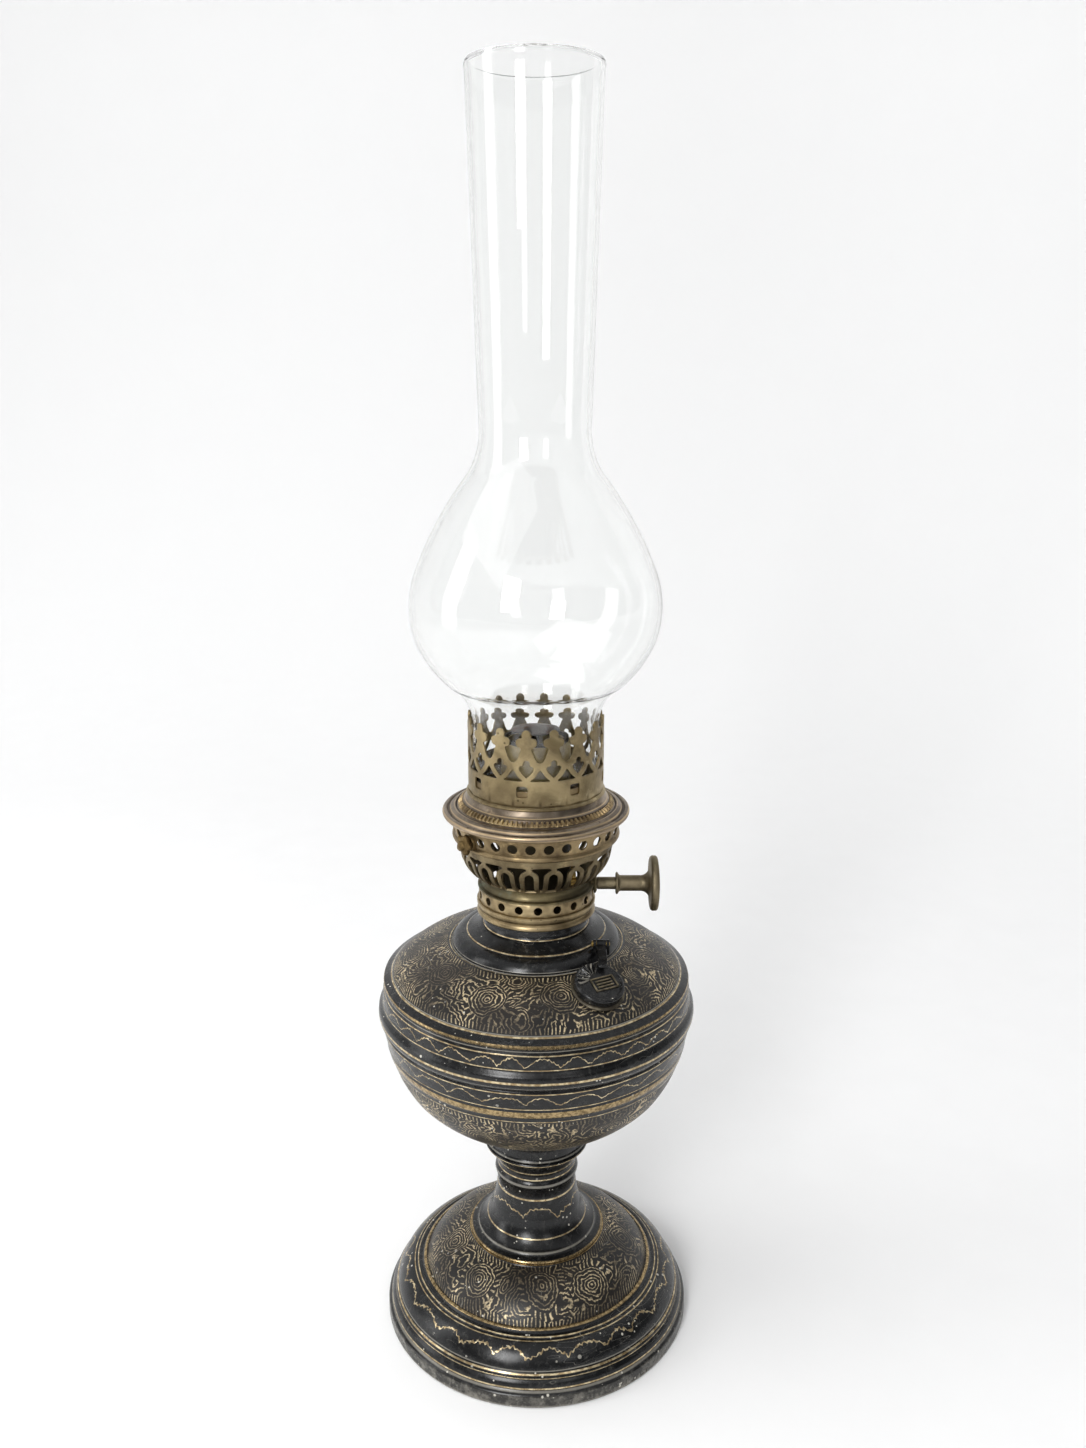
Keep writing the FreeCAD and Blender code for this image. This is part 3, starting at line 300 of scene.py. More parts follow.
class Sock:
    # one value of a node tree, with Math nodes for its operators
    def __init__(self, paint, out):
        self.paint = paint
        self.out = out

    def math(self, operation, *others):
        settings = {"operation": operation}
        return self.paint.node("ShaderNodeMath", settings, [self, *others])

    def __add__(self, other):
        return self.math("ADD", other)

    def __sub__(self, other):
        return self.math("SUBTRACT", other)

    def __mul__(self, other):
        return self.math("MULTIPLY", other)

    def __truediv__(self, other):
        return self.math("DIVIDE", other)

    def __neg__(self):
        return self.math("MULTIPLY", -1.0)

    def __rsub__(self, other):
        return self.paint.node("ShaderNodeMath", {"operation": "SUBTRACT"}, [other, self])

    __radd__ = __add__
    __rmul__ = __mul__

    def sin(self):
        return self.math("SINE")

    def cos(self):
        return self.math("COSINE")

    def abs(self):
        return self.math("ABSOLUTE")

    def floor(self):
        return self.math("FLOOR")

    def fract(self):
        return self.math("FRACT")

    def root(self):
        return self.math("SQRT")

    def most(self, other):
        return self.math("MAXIMUM", other)

    def angleTo(self, other):
        return self.math("ARCTAN2", other)

    def smooth(self, low, high):
        # 0 under low, 1 over high, soft between; low may be the greater
        settings = {"interpolation_type": "SMOOTHSTEP"}
        sockets = {"Value": self, "From Min": low, "From Max": high}
        return self.paint.node("ShaderNodeMapRange", settings, sockets)

    def near(self, centre, half, soft):
        # 1 within half of centre
        return (self - centre).abs().smooth(half + soft, half)


class Paint:
    # a material's node tree, or the world's
    def __init__(self, name, world=None):
        self.material = world or bpy.data.materials.new(name)
        self.material.use_nodes = True
        self.tree = self.material.node_tree
        self.tree.nodes.clear()
        kind = "ShaderNodeOutputWorld" if world else "ShaderNodeOutputMaterial"
        self.output = self.tree.nodes.new(kind)

    def put(self, socket, value):
        if isinstance(value, Sock):
            self.tree.links.new(value.out, socket)
        elif isinstance(value, (tuple, list)):
            if len(value) == 3 and socket.type == "RGBA":
                value = (*value, 1.0)
            socket.default_value = value
        else:
            socket.default_value = value

    def node(self, kind, settings=None, sockets=None, out=0):
        made = self.tree.nodes.new(kind)
        for key, value in (settings or {}).items():
            setattr(made, key, value)
        items = sockets or {}
        if isinstance(items, (list, tuple)):
            items = dict(enumerate(items))
        for key, value in items.items():
            self.put(made.inputs[key], value)
        return Sock(self, made.outputs[out])

    def mix(self, share, a, b):
        # two colours
        made = self.tree.nodes.new("ShaderNodeMix")
        made.data_type = "RGBA"
        self.put(made.inputs[0], share)
        self.put(made.inputs[6], a)
        self.put(made.inputs[7], b)
        return Sock(self, made.outputs[2])

    def blend(self, share, a, b):
        # two values, by an expression
        return a + share * (b - a)

    def position(self):
        return self.node("ShaderNodeTexCoord", out="Object")

    def parts(self, vector):
        made = self.tree.nodes.new("ShaderNodeSeparateXYZ")
        self.put(made.inputs[0], vector)
        return [Sock(self, made.outputs[i]) for i in range(3)]

    def joined(self, x, y, z):
        return self.node("ShaderNodeCombineXYZ", {}, [x, y, z])

    def noise(self, vector, scale, detail=2.0, rough=0.5, distortion=0.0):
        sockets = {
            "Vector": vector,
            "Scale": scale,
            "Detail": detail,
            "Roughness": rough,
            "Distortion": distortion,
        }
        return self.node("ShaderNodeTexNoise", {}, sockets)

    def bump(self, height, strength, distance):
        sockets = {"Height": height, "Strength": strength, "Distance": distance}
        return self.node("ShaderNodeBump", {}, sockets)

    def finish(self, **sockets):
        # one Principled shader; names use _ for spaces
        named = {key.replace("_", " "): value for key, value in sockets.items()}
        shader = self.node("ShaderNodeBsdfPrincipled", {}, named)
        self.tree.links.new(shader.out, self.output.inputs["Surface"])
        return self.material


def srgb(r, g, b):
    # a colour as seen, 0 to 255, to the light it stands for
    found = []
    for c in (r, g, b):
        c /= 255
        found.append(c / 12.92 if c < 0.04045 else ((c + 0.055) / 1.055) ** 2.4)
    return tuple(found)


# ---- finishes

def strongest(layer, other):
    # the greater of two layers, where the first may be missing
    return other if layer is None else layer.most(other)


def aroundAndOut(paint):
    # the angle round the lamp, the distance from its axis, and the height
    pos = paint.position()
    x, y, z = paint.parts(pos)
    around = x.angleTo(-y)
    out = (x * x + y * y).root()
    return pos, around, out, z


def chips(paint, pos, scale, share, seed):
    # small pale specks: worley cells whose middle is close
    shifted = paint.node("ShaderNodeVectorMath", {"operation": "ADD"}, [pos, (seed, seed, seed)])
    sockets = {"Vector": shifted, "Scale": scale, "Randomness": 1.0}
    near = paint.node("ShaderNodeTexVoronoi", {"feature": "F1"}, sockets)
    patchy = paint.noise(shifted, scale * 0.31, 3.0)
    size = patchy.smooth(0.45, 0.72) * share
    return near.smooth(size + 0.03, size)


def scratches(paint, pos, scale, seed):
    # fine hair scratches: thin level lines of a stretched noise
    stretch = paint.node(
        "ShaderNodeMapping",
        {},
        {"Vector": pos, "Scale": (1.0, 1.0, 4.2), "Rotation": (seed, seed * 0.7, 0.4)},
    )
    field = paint.noise(stretch, scale, 1.0, 0.4, 1.2)
    line = (field - 0.5).abs().smooth(0.0035, 0.0008)
    gate = paint.noise(pos, scale * 0.6, 2.0).smooth(0.52, 0.66)
    return line * gate


engraving = {
    "line": 0.31,              # share of the pitch that a line fills
    "medallion": 8.8 * mm,     # the whorl's radius
    "loose": 13 * mm,          # from one loose worm cell to the next
    "spokes": 23.0,            # round one whorl
    "comb": 1.7 * mm,          # from one edge stroke to the next
    "combReach": 2.6 * mm,
}


def engravedZone(paint, pos, around, climb, out, zone):
    # worm lines round whorls, with comb strokes at the zone's edges
    low, high = zone["low"], zone["high"]
    middle = (low + high) / 2
    count = zone["count"]
    pitch = zone["pitch"]
    inside = climb.smooth(low, low + 0.25 * mm) * climb.smooth(high, high - 0.25 * mm)
    # three sizes of wander: slow drift, worm bends, and the tool's small steps
    slow = paint.noise(pos, 85.0, 1.0, 0.5) - 0.5
    bends = paint.noise(pos, 210.0, 1.0, 0.5) - 0.5
    steps = paint.noise(pos, 760.0, 1.0, 0.4) - 0.5
    wander = slow * 8.0 * mm + bends * 2.8 * mm + steps * 1.15 * mm
    cells = around * (count / turn) + zone["start"]
    cell = cells.floor()
    chanceA = paint.node("ShaderNodeTexWhiteNoise", {"noise_dimensions": "1D"}, {"W": cell})
    chanceB = paint.node("ShaderNodeTexWhiteNoise", {"noise_dimensions": "1D"}, {"W": cell + 31.7})
    side = (cells.fract() - 0.5) - (chanceA - 0.5) * 0.35
    lx = side * out * (turn / count)
    lift = (cell * 0.5).fract() * 4.0 - 1.0
    ly = (climb - middle) * zone["slant"] - lift * zone["stagger"] * 0.5
    ly = ly + (chanceB - 0.5) * (0.9 * zone["stagger"])
    away = (lx * lx * (0.7 + 0.6 * chanceB) + ly * ly * (1.3 - 0.6 * chanceA)).root()
    near = away + slow * 4.0 * mm + bends * 2.6 * mm + steps * 1.2 * mm
    sockets = {"Vector": pos, "Scale": 1 / engraving["loose"], "Randomness": 1.0}
    loose = paint.node("ShaderNodeTexVoronoi", {"feature": "F1"}, sockets)
    loose = loose * engraving["loose"] + wander
    whorl = (1 - (near / engraving["medallion"])).smooth(-0.04, 0.04)
    rings = paint.blend(whorl, loose, near) / pitch
    ringLine = (rings * turn).cos()
    # short spokes between every second pair of rings, and on the whorl's rim
    spokes = (ly.angleTo(lx) * engraving["spokes"] + slow * 26.0 + bends * 9.0).cos()
    whorlRim = (near / engraving["medallion"]).near(1.09, 0.1, 0.06)
    patch = paint.noise(pos, 120.0, 1.0, 0.4).smooth(0.6, 0.65) * (1 - whorl)
    comb = (around * out / engraving["comb"] * turn + slow * 12.0 + bends * 6.0).cos()
    strokes = engraving["combReach"] + slow * 9.0 * mm + bends * 3.0 * mm
    toLow = 1 - (climb - low) / strokes
    toHigh = 1 - (high - climb) / strokes
    combShare = toLow.most(toHigh).smooth(0.05, 0.25)
    field = paint.blend(whorlRim.most(patch), ringLine, spokes)
    field = paint.blend(combShare, field, comb)
    lineShare = zone.get("line", engraving["line"])
    edgeValue = math.cos(math.pi * lineShare)
    line = field.smooth(edgeValue - 0.22, edgeValue + 0.32)
    # the tool's beads and the wear
    beads = paint.noise(pos, 1100.0, 1.0, 0.3).smooth(0.36, 0.56)
    wear = paint.noise(pos, 62.0, 3.0, 0.6).smooth(0.36, 0.62)
    strength = (0.35 + 0.65 * beads) * (0.6 + 0.4 * wear)
    return inside, line * inside * strength, wear


def waveLine(paint, pos, around, climb, wave, wobble):
    # hand-drawn waves: uneven crests, and small steps along the line
    place = paint.joined(around.sin(), around.cos(), wave["centre"] / mm)
    uneven = paint.noise(place, 3.4, 2.0)
    t = around * (wave["count"] / 2) + wave["phase"] + (uneven - 0.5) * 3.2
    swept = t.sin()
    crest = (swept * swept + 0.03).root()
    steps = ((around * (wave["count"] * 3.5 / math.pi)).fract() - 0.5).abs() - 0.25
    jag = paint.noise(pos, 850.0, 1.0, 0.4) - 0.5
    swing = wave["swing"] * (0.35 + 1.3 * uneven)
    at = wave["centre"] + (crest - 0.5) * (2 * swing) + steps * (wave["jag"] * 2)
    at = at + jag * (wave["jag"] * 3.2) + wobble
    return (climb - at).abs().smooth(wave["half"] * 1.5, wave["half"] * 0.6)


def fanCrestHighlights(paint, pos, look):
    # painted highlights on the crests of the flutes pressed in the filler cap
    x, y = paint.parts(pos)[:2]
    c, s = math.cos(look["turned"]), math.sin(look["turned"])
    dx, dy = x - look["at"].x, y - look["at"].y
    u, v = dx * c + dy * s, dy * c - dx * s
    away = (u * u + v * v).root()
    angle = v.angleTo(u)
    flute = (angle * fan["blades"] + (away / mm * 0.9).sin() * 0.8).cos()
    crest = flute.smooth(-0.35, -0.9)
    ex, ey = x - look["centre"].x, y - look["centre"].y
    inside = (ex * ex + ey * ey).root().smooth(look["reach"], look["reach"] - 0.4 * mm)
    side = angle.smooth(0.75, 0.95).most(angle.smooth(-2.9, -3.0))
    patchy = paint.noise(pos, 300.0, 2.0).smooth(0.3, 0.6)
    return crest * inside * side * patchy * away.smooth(1.4 * mm, 2.4 * mm)


def lacquerPaint(name, marks):
    # black lacquer with gold lines, bands, waves and engraved zones
    paint = Paint(name)
    pos, around, out, z = aroundAndOut(paint)
    axes = {"z": z, "r": out}
    wobble = (paint.noise(pos, 95.0, 2.0) - 0.5) * (0.28 * mm)
    thick = paint.noise(pos, 420.0, 2.0)
    lines = None
    for axis, centre, half in marks.get("lines", ()):
        made = (axes[axis] - (wobble + centre)).abs()
        made = made.smooth(half * 1.1 + 0.08 * mm, half * 0.5)
        lines = strongest(lines, made)
    greys = None
    for axis, centre, half in marks.get("greys", ()):
        made = (axes[axis] - (wobble + centre)).abs().smooth(half * 1.5, half * 0.5)
        greys = strongest(greys, made)
    for wave in marks.get("waves", ()):
        made = waveLine(paint, pos, around, axes[wave["axis"]], wave, wobble)
        broken = paint.noise(pos, 900.0, 1.0).smooth(0.3, 0.42)
        made = made * (0.45 + 0.55 * broken)
        lines = strongest(lines, made)
    bands = None
    for axis, low, high in marks.get("bands", ()):
        value = axes[axis] + wobble * 0.6
        made = value.smooth(low - 0.08 * mm, low + 0.1 * mm)
        made = made * value.smooth(high + 0.08 * mm, high - 0.1 * mm)
        bands = strongest(bands, made)
    zoneShare, engraved, wear = None, None, None
    for zone in marks.get("zones", ()):
        share, cutLines, zoneWear = engravedZone(paint, pos, around, axes[zone["axis"]], out, zone)
        zoneShare = strongest(zoneShare, share)
        engraved = strongest(engraved, cutLines)
        wear = zoneWear
    cloud = paint.noise(pos, 34.0, 4.0, 0.6)
    fine = paint.noise(pos, 380.0, 3.0, 0.6)
    specks = chips(paint, pos, 320.0, 0.19, marks["seed"])
    bigger = chips(paint, pos, 150.0, 0.13, marks["seed"] + 4.3)
    hair = scratches(paint, pos, 55.0, 0.5).most(scratches(paint, pos, 38.0, 1.9))
    worn = paint.noise(pos, 46.0, 5.0, 0.62)
    colour = paint.mix(cloud.smooth(0.3, 0.72), lacquer["deep"], lacquer["grey"])
    colour = paint.mix(fine.smooth(0.5, 0.78) * 0.36, colour, lacquer["dust"])
    metal = 0.0
    if zoneShare is not None:
        ground = paint.mix(cloud.smooth(0.35, 0.7), lacquer["zoneDeep"], lacquer["zoneBrown"])
        colour = paint.mix(zoneShare * 0.9, colour, ground)
        tan = paint.mix(wear, lacquer["engraveDull"], lacquer["engraveGold"])
        colour = paint.mix(engraved * 0.92, colour, tan)
        metal = engraved * 0.45
    for axis, centre, half in marks.get("worn", ()):
        # places where handling has dulled the black to a patchy grey
        made = (axes[axis] - centre).abs().smooth(half * 1.1, half * 0.7)
        patch = paint.noise(pos, 190.0, 5.0, 0.75).smooth(0.4, 0.72)
        colour = paint.mix(made * (0.08 + 0.5 * patch), colour, lacquer["rubbed"])
    # painted highlights along the crests of the cap's flutes
    if "fan" in marks:
        colour = paint.mix(fanCrestHighlights(paint, pos, marks["fan"]) * 0.7, colour, lacquer["rubbed"])
    if greys is not None:
        colour = paint.mix(greys * (0.35 + 0.4 * worn), colour, lacquer["rubbed"])
    if lines is not None:
        faded = worn.smooth(0.26, 0.5)
        share = lines * (0.5 + 0.5 * faded)
        gold = paint.mix(thick.smooth(0.35, 0.7), lacquer["goldDeep"], lacquer["gold"])
        colour = paint.mix(share, colour, gold)
        metal = share * 0.6 + metal * (1 - share)
    if bands is not None:
        rubbed = worn.smooth(0.2, 0.42)
        streak = paint.noise(paint.joined(around * 0.2, out * 3.0, z * 3.0), 260.0, 2.0)
        brassy = paint.mix(streak.smooth(0.3, 0.7), lacquer["bandDeep"], lacquer["band"])
        share = bands * (0.55 + 0.45 * rubbed)
        colour = paint.mix(share, colour, brassy)
        metal = share * 0.8 + metal * (1 - share)
    colour = paint.mix(hair * 0.5, colour, lacquer["rubbed"])
    allChips = specks.most(bigger)
    colour = paint.mix(specks.most(bigger * 0.5) * 0.75, colour, lacquer["chip"])
    smear = paint.noise(pos, 70.0, 4.0, 0.7)
    rough = 0.13 + smear * 0.2 + fine * 0.07 + hair * 0.1
    height = fine * 0.3 - allChips * 0.5 - hair * 0.35
    if engraved is not None:
        height = height + engraved * 0.8
        rough = rough + zoneShare * 0.14
    if lines is not None:
        height = height + lines * 0.4
    if bands is not None:
        height = height + bands * 0.3
    normal = paint.bump(height + smear * 1.6, 0.5, 0.14 * mm)
    return paint.finish(Base_Color=colour, Roughness=rough, Metallic=metal, Normal=normal,
                        Specular_IOR_Level=0.42)


lacquer = {
    "deep": srgb(9, 9, 10),
    "grey": srgb(24, 25, 26),
    "dust": srgb(80, 79, 76),
    "rubbed": srgb(150, 146, 136),
    "chip": srgb(206, 202, 190),
    "gold": srgb(216, 200, 164),
    "goldDeep": srgb(150, 130, 96),
    "band": srgb(178, 156, 116),
    "bandDeep": srgb(112, 95, 66),
    "zoneDeep": srgb(17, 16, 15),
    "zoneBrown": srgb(37, 32, 28),
    "engraveGold": srgb(214, 196, 160),
    "engraveDull": srgb(124, 112, 92),
}


def brassPaint(name, look):
    # aged brass: clouds of patina, streaks, specks, and rubbed brighter places
    paint = Paint(name)
    pos, around, out, z = aroundAndOut(paint)
    cloud = paint.noise(pos, look.get("cloud", 48.0), 5.0, 0.62, 0.6)
    fine = paint.noise(pos, 420.0, 3.0, 0.6)
    mottled = paint.noise(pos, 150.0, 4.0, 0.65)
    colour = paint.mix(cloud.smooth(0.3, 0.7), look["deep"], look["brass"])
    colour = paint.mix(mottled.smooth(0.52, 0.78) * look.get("dull", 0.5), colour, look["brown"])
    rubbed = paint.noise(pos, 85.0, 4.0, 0.7).smooth(0.55, 0.75)
    colour = paint.mix(rubbed * look.get("bright", 0.4), colour, look["light"])
    green = None
    if "green" in look:
        patch = paint.noise(pos, 70.0, 5.0, 0.7).smooth(look["greenFrom"], look["greenFrom"] + 0.2)
        if "greenHeights" in look:
            low, high = look["greenHeights"]
            patch = patch * z.smooth(low, low + 2 * mm) * z.smooth(high, high - 2 * mm)
        green = patch
        colour = paint.mix(patch * look.get("greenShare", 0.6), colour, look["green"])
    pits = chips(paint, pos, 330.0, 0.16, 2.2)
    colour = paint.mix(pits * 0.6, colour, look["pitAndShade"])
    hair = scratches(paint, pos, 70.0, 1.1)
    colour = paint.mix(hair * 0.4, colour, look["light"])
    turned = None
    if look.get("turned"):
        # marks left by the lathe run round the axis
        across = paint.joined(around * 0.002, out, z)
        turned = paint.noise(across, look["turned"], 2.0, 0.5)
        colour = paint.mix(turned.smooth(0.45, 0.75) * 0.3, colour, look["brown"])
    # painted highlights and painted shade: light rings where turned ridges catch the light, dark
    # rings in the grooves and in the shadow under the teeth
    for radius, half, tone in look.get("rings", ()):
        made = (out - radius).abs().smooth(half * 1.4, half * 0.5)
        colour = paint.mix(made * 0.7, colour, look[tone])
    # painted shade: below a ragged height the colour turns almost to the darkest colour, where the
    # tubes stand deep inside the burner
    if "shadeBelow" in look:
        level = look["shadeBelow"] + (mottled - 0.5) * 6 * mm
        colour = paint.mix(z.smooth(level + 1.5 * mm, level - 1.5 * mm) * 0.93, colour, look["pitAndShade"])
    rough = look["rough"] + mottled * 0.22 + fine * 0.06 - rubbed * 0.08
    metal = 1.0 - mottled.smooth(0.5, 0.8) * look.get("dullMetal", 0.35)
    if green is not None:
        rough = rough + green * 0.25
        metal = metal * (1 - green * 0.6)
    height = fine * 0.25 + mottled * 0.35 - pits * 0.8 - hair * 0.3
    if turned is not None:
        height = height + turned * 0.5
    normal = paint.bump(height, look.get("bump", 0.35), 0.1 * mm)
    return paint.finish(Base_Color=colour, Roughness=rough, Metallic=metal, Normal=normal)


brassLooks = {
    "crown": {
        "deep": srgb(112, 99, 74), "brass": srgb(164, 148, 114), "brown": srgb(84, 72, 53),
        "light": srgb(212, 198, 160), "pitAndShade": srgb(54, 46, 34), "rough": 0.3, "bright": 0.4,
    },
    "flange": {
        "deep": srgb(97, 87, 76), "brass": srgb(156, 143, 127), "brown": srgb(76, 66, 57),
        "light": srgb(204, 180, 144), "pitAndShade": srgb(50, 41, 34), "rough": 0.28, "turned": 900.0,
        # painted highlight rings, and painted shade rings in the grooves and under the teeth
        "rings": [
            (39.4 * mm, 0.25 * mm, "light"), (37.2 * mm, 0.35 * mm, "pitAndShade"),
            (36.3 * mm, 0.2 * mm, "light"), (34.6 * mm, 0.12 * mm, "light"),
            (33.7 * mm, 0.3 * mm, "pitAndShade"), (31.5 * mm, 0.6 * mm, "pitAndShade"),
            (30.2 * mm, 0.2 * mm, "light"),
        ],
    },
    "skirt": {
        "deep": srgb(98, 84, 62), "brass": srgb(154, 136, 104), "brown": srgb(74, 62, 45),
        "light": srgb(202, 178, 132), "pitAndShade": srgb(46, 38, 26), "rough": 0.32,
    },
    "basket": {
        "deep": srgb(92, 81, 61), "brass": srgb(144, 130, 102), "brown": srgb(68, 59, 45),
        "light": srgb(190, 170, 128), "pitAndShade": srgb(40, 34, 24), "rough": 0.34,
        "green": srgb(112, 124, 98), "greenFrom": 0.58, "greenShare": 0.4,
    },
    "collar": {
        "deep": srgb(88, 82, 64), "brass": srgb(134, 122, 92), "brown": srgb(76, 68, 52),
        "light": srgb(178, 166, 132), "pitAndShade": srgb(46, 42, 34), "rough": 0.42,
        "green": srgb(116, 126, 110), "greenFrom": 0.48, "greenShare": 0.6, "turned": 700.0,
    },
    "ring": {
        "deep": srgb(124, 108, 81), "brass": srgb(186, 168, 132), "brown": srgb(88, 75, 55),
        "light": srgb(214, 194, 150), "pitAndShade": srgb(52, 42, 28), "rough": 0.26, "turned": 900.0,
        "dull": 0.45, "dullMetal": 0.2,
    },
    "tube": {
        "deep": srgb(150, 132, 92), "brass": srgb(206, 190, 146), "brown": srgb(110, 94, 66),
        "light": srgb(232, 220, 184), "pitAndShade": srgb(34, 30, 24), "rough": 0.42, "cloud": 70.0,
        # painted shade on the tubes below this height, inside the burner basket and gallery
        "shadeBelow": 250.0 * mm,
    },
    "teeth": {
        "deep": srgb(112, 96, 74), "brass": srgb(178, 156, 116), "brown": srgb(88, 74, 58),
        "light": srgb(226, 206, 156), "pitAndShade": srgb(60, 50, 38), "rough": 0.3, "cloud": 160.0,
    },
    "knob": {
        "deep": srgb(100, 91, 73), "brass": srgb(138, 127, 104), "brown": srgb(84, 74, 59),
        "light": srgb(186, 176, 142), "pitAndShade": srgb(64, 58, 44), "rough": 0.4,
        "green": srgb(120, 126, 102), "greenFrom": 0.55, "greenShare": 0.4,
    },
    "boss": {
        "deep": srgb(92, 76, 50), "brass": srgb(142, 122, 84), "brown": srgb(70, 58, 40),
        "light": srgb(188, 168, 122), "pitAndShade": srgb(44, 36, 24), "rough": 0.42, "cloud": 130.0,
        "bump": 0.7,
    },
    "pin": {
        "deep": srgb(150, 122, 66), "brass": srgb(214, 186, 120), "brown": srgb(120, 96, 52),
        "light": srgb(244, 224, 170), "pitAndShade": srgb(84, 66, 36), "rough": 0.25, "cloud": 160.0,
        "dull": 0.3,
    },
}


def glassPaint():
    paint = Paint("chimneyGlass")
    pos = paint.position()
    haze = paint.noise(pos, 26.0, 3.0, 0.6)
    ripple = paint.noise(pos, 14.0, 1.0, 0.4)
    rough = haze.smooth(0.58, 0.85) * 0.05
    normal = paint.bump(ripple, 0.25, 1.2 * mm)
    return paint.finish(
        Base_Color=(0.985, 0.99, 0.985),
        Roughness=rough,
        Normal=normal,
        IOR=1.47,
        Transmission_Weight=1.0,
        Specular_IOR_Level=0.36,
    )


def cottonPaint():
    # a woven wick, charred at its lip
    paint = Paint("wickCotton")
    pos, around, out, z = aroundAndOut(paint)
    warpWay = (around * 110.0).sin()
    weftWay = (z * (turn / (0.9 * mm))).sin()
    weave = warpWay * weftWay
    lip = top("wick")
    char = z.smooth(lip - 5 * mm, lip - 1 * mm)
    fuzz = paint.noise(pos, 500.0, 3.0)
    colour = paint.mix(fuzz, srgb(214, 204, 178), srgb(186, 172, 142))
    colour = paint.mix(weave.smooth(0.2, 0.9) * 0.35, colour, srgb(142, 128, 100))
    colour = paint.mix(char * 0.95, colour, srgb(26, 23, 21))
    normal = paint.bump(weave * 0.5 + fuzz, 0.6, 0.2 * mm)
    return paint.finish(Base_Color=colour, Roughness=0.92, Normal=normal)


def steelPaint(name, look):
    # plain iron and steel fixings; heat brown where the flame reaches
    paint = Paint(name)
    pos, around, out, z = aroundAndOut(paint)
    cloud = paint.noise(pos, 90.0, 4.0, 0.6)
    fine = paint.noise(pos, 520.0, 2.0)
    rust = paint.noise(pos, 130.0, 5.0, 0.7).smooth(look["rustFrom"], look["rustFrom"] + 0.18)
    colour = paint.mix(cloud, look["deep"], look["steel"])
    colour = paint.mix(rust * 0.8, colour, look["rust"])
    rough = 0.38 + cloud * 0.2 + rust * 0.3
    metal = 1 - rust * 0.8
    normal = paint.bump(fine * 0.4 + rust * 0.6, 0.4, 0.1 * mm)
    return paint.finish(Base_Color=colour, Roughness=rough, Metallic=metal, Normal=normal)


def corkPaint():
    paint = Paint("gasketCork")
    pos = paint.position()
    grain = paint.node("ShaderNodeTexVoronoi", {"feature": "F1"}, {"Vector": pos, "Scale": 700.0})
    fine = paint.noise(pos, 900.0, 3.0)
    colour = paint.mix(grain.smooth(0.1, 0.7), srgb(146, 108, 70), srgb(96, 68, 42))
    normal = paint.bump(grain + fine * 0.5, 0.5, 0.15 * mm)
    return paint.finish(Base_Color=colour, Roughness=0.9, Normal=normal)


print("finishes ready")


# ---- lamp body: foot, stem, cup, font, collar

footTop = top("foot_shell")
stemTop = bottom("font_cup")
fontBase = bottom("font_bowl")
seam = top("font_bowl")
shoulderTop = top("font_shoulder")
collarTop = top("font_collar")
fontRadius = reach("font_bowl")
wall = 1.2 * mm

foot = {
    "rim": reach("foot_shell") - 0.06 * mm,
    "top": 30.5 * mm,
    "step": 52.9 * mm,
    "land": 21.4 * mm,
}
footMarks = {
    "seed": 1.0,
    "zones": [{
        "axis": "r", "low": 31.4 * mm, "high": 51.6 * mm, "count": 10, "stagger": 3.0 * mm,
        "slant": 1.12, "start": 0.42, "pitch": 1.5 * mm,
    }],
    "bands": [("r", 51.7 * mm, 53.0 * mm), ("r", 30.5 * mm, 31.2 * mm)],
    "lines": [
        ("r", 55.6 * mm, 0.22 * mm), ("r", 57.2 * mm, 0.2 * mm),
        ("z", 13.3 * mm, 0.3 * mm), ("z", 11.9 * mm, 0.16 * mm), ("z", 8.3 * mm, 0.38 * mm),
    ],
    "greys": [
        ("z", 6.9 * mm, 0.35 * mm), ("z", 0.8 * mm, 0.4 * mm), ("z", 14.4 * mm, 0.25 * mm),
    ],
    "worn": [("z", 3.2 * mm, 2.8 * mm)],
    "waves": [{
        "axis": "r", "centre": 61.3 * mm, "swing": -1.45 * mm, "count": 24, "jag": 0.5 * mm,
        "half": 0.24 * mm, "phase": 0.3,
    }],
}
rim = foot["rim"]
step = foot["step"]
footOutline = [
    (rim - 0.6 * mm, 0.0), bend(rim - 0.1 * mm, 0.5 * mm), (rim, 1.4 * mm),
    (rim - 0.1 * mm, 4.6 * mm), bend(rim - 0.2 * mm, 5.6 * mm), (rim - 0.9 * mm, 6.3 * mm),
    (rim - 1.9 * mm, 6.9 * mm), (rim - 2.2 * mm, 7.5 * mm), (rim - 1.7 * mm, 8.0 * mm),
    bend(rim - 2.0 * mm, 9.4 * mm), (rim - 3.0 * mm, 11.2 * mm), (rim - 3.5 * mm, 11.7 * mm),
    (rim - 3.6 * mm, 12.3 * mm), (rim - 4.2 * mm, 13.2 * mm), (rim - 4.9 * mm, 13.9 * mm),
    bend(rim - 7.4 * mm, 18.9 * mm), (rim - 11.8 * mm, 22.7 * mm),
    (rim - 13.2 * mm, 23.3 * mm), (rim - 13.7 * mm, 23.3 * mm), (rim - 14.3 * mm, 23.9 * mm),
    (rim - 15.4 * mm, 24.1 * mm), (rim - 15.9 * mm, 23.9 * mm), (step + 0.4 * mm, 24.3 * mm),
    bend(step - 0.1 * mm, 25.0 * mm), (step - 1.3 * mm, 25.3 * mm), (step - 1.7 * mm, 25.1 * mm),
    bend(44.2 * mm, 33.8 * mm), (foot["top"] + 1.1 * mm, footTop - 0.5 * mm),
    (foot["top"] + 0.8 * mm, footTop), (foot["top"], footTop), (foot["land"], footTop),
]
lathe("lacqueredFoot", shell(footOutline, wall), "lamp_body",
      lacquerPaint("footLacquer", footMarks), ["foot_shell"], 256)

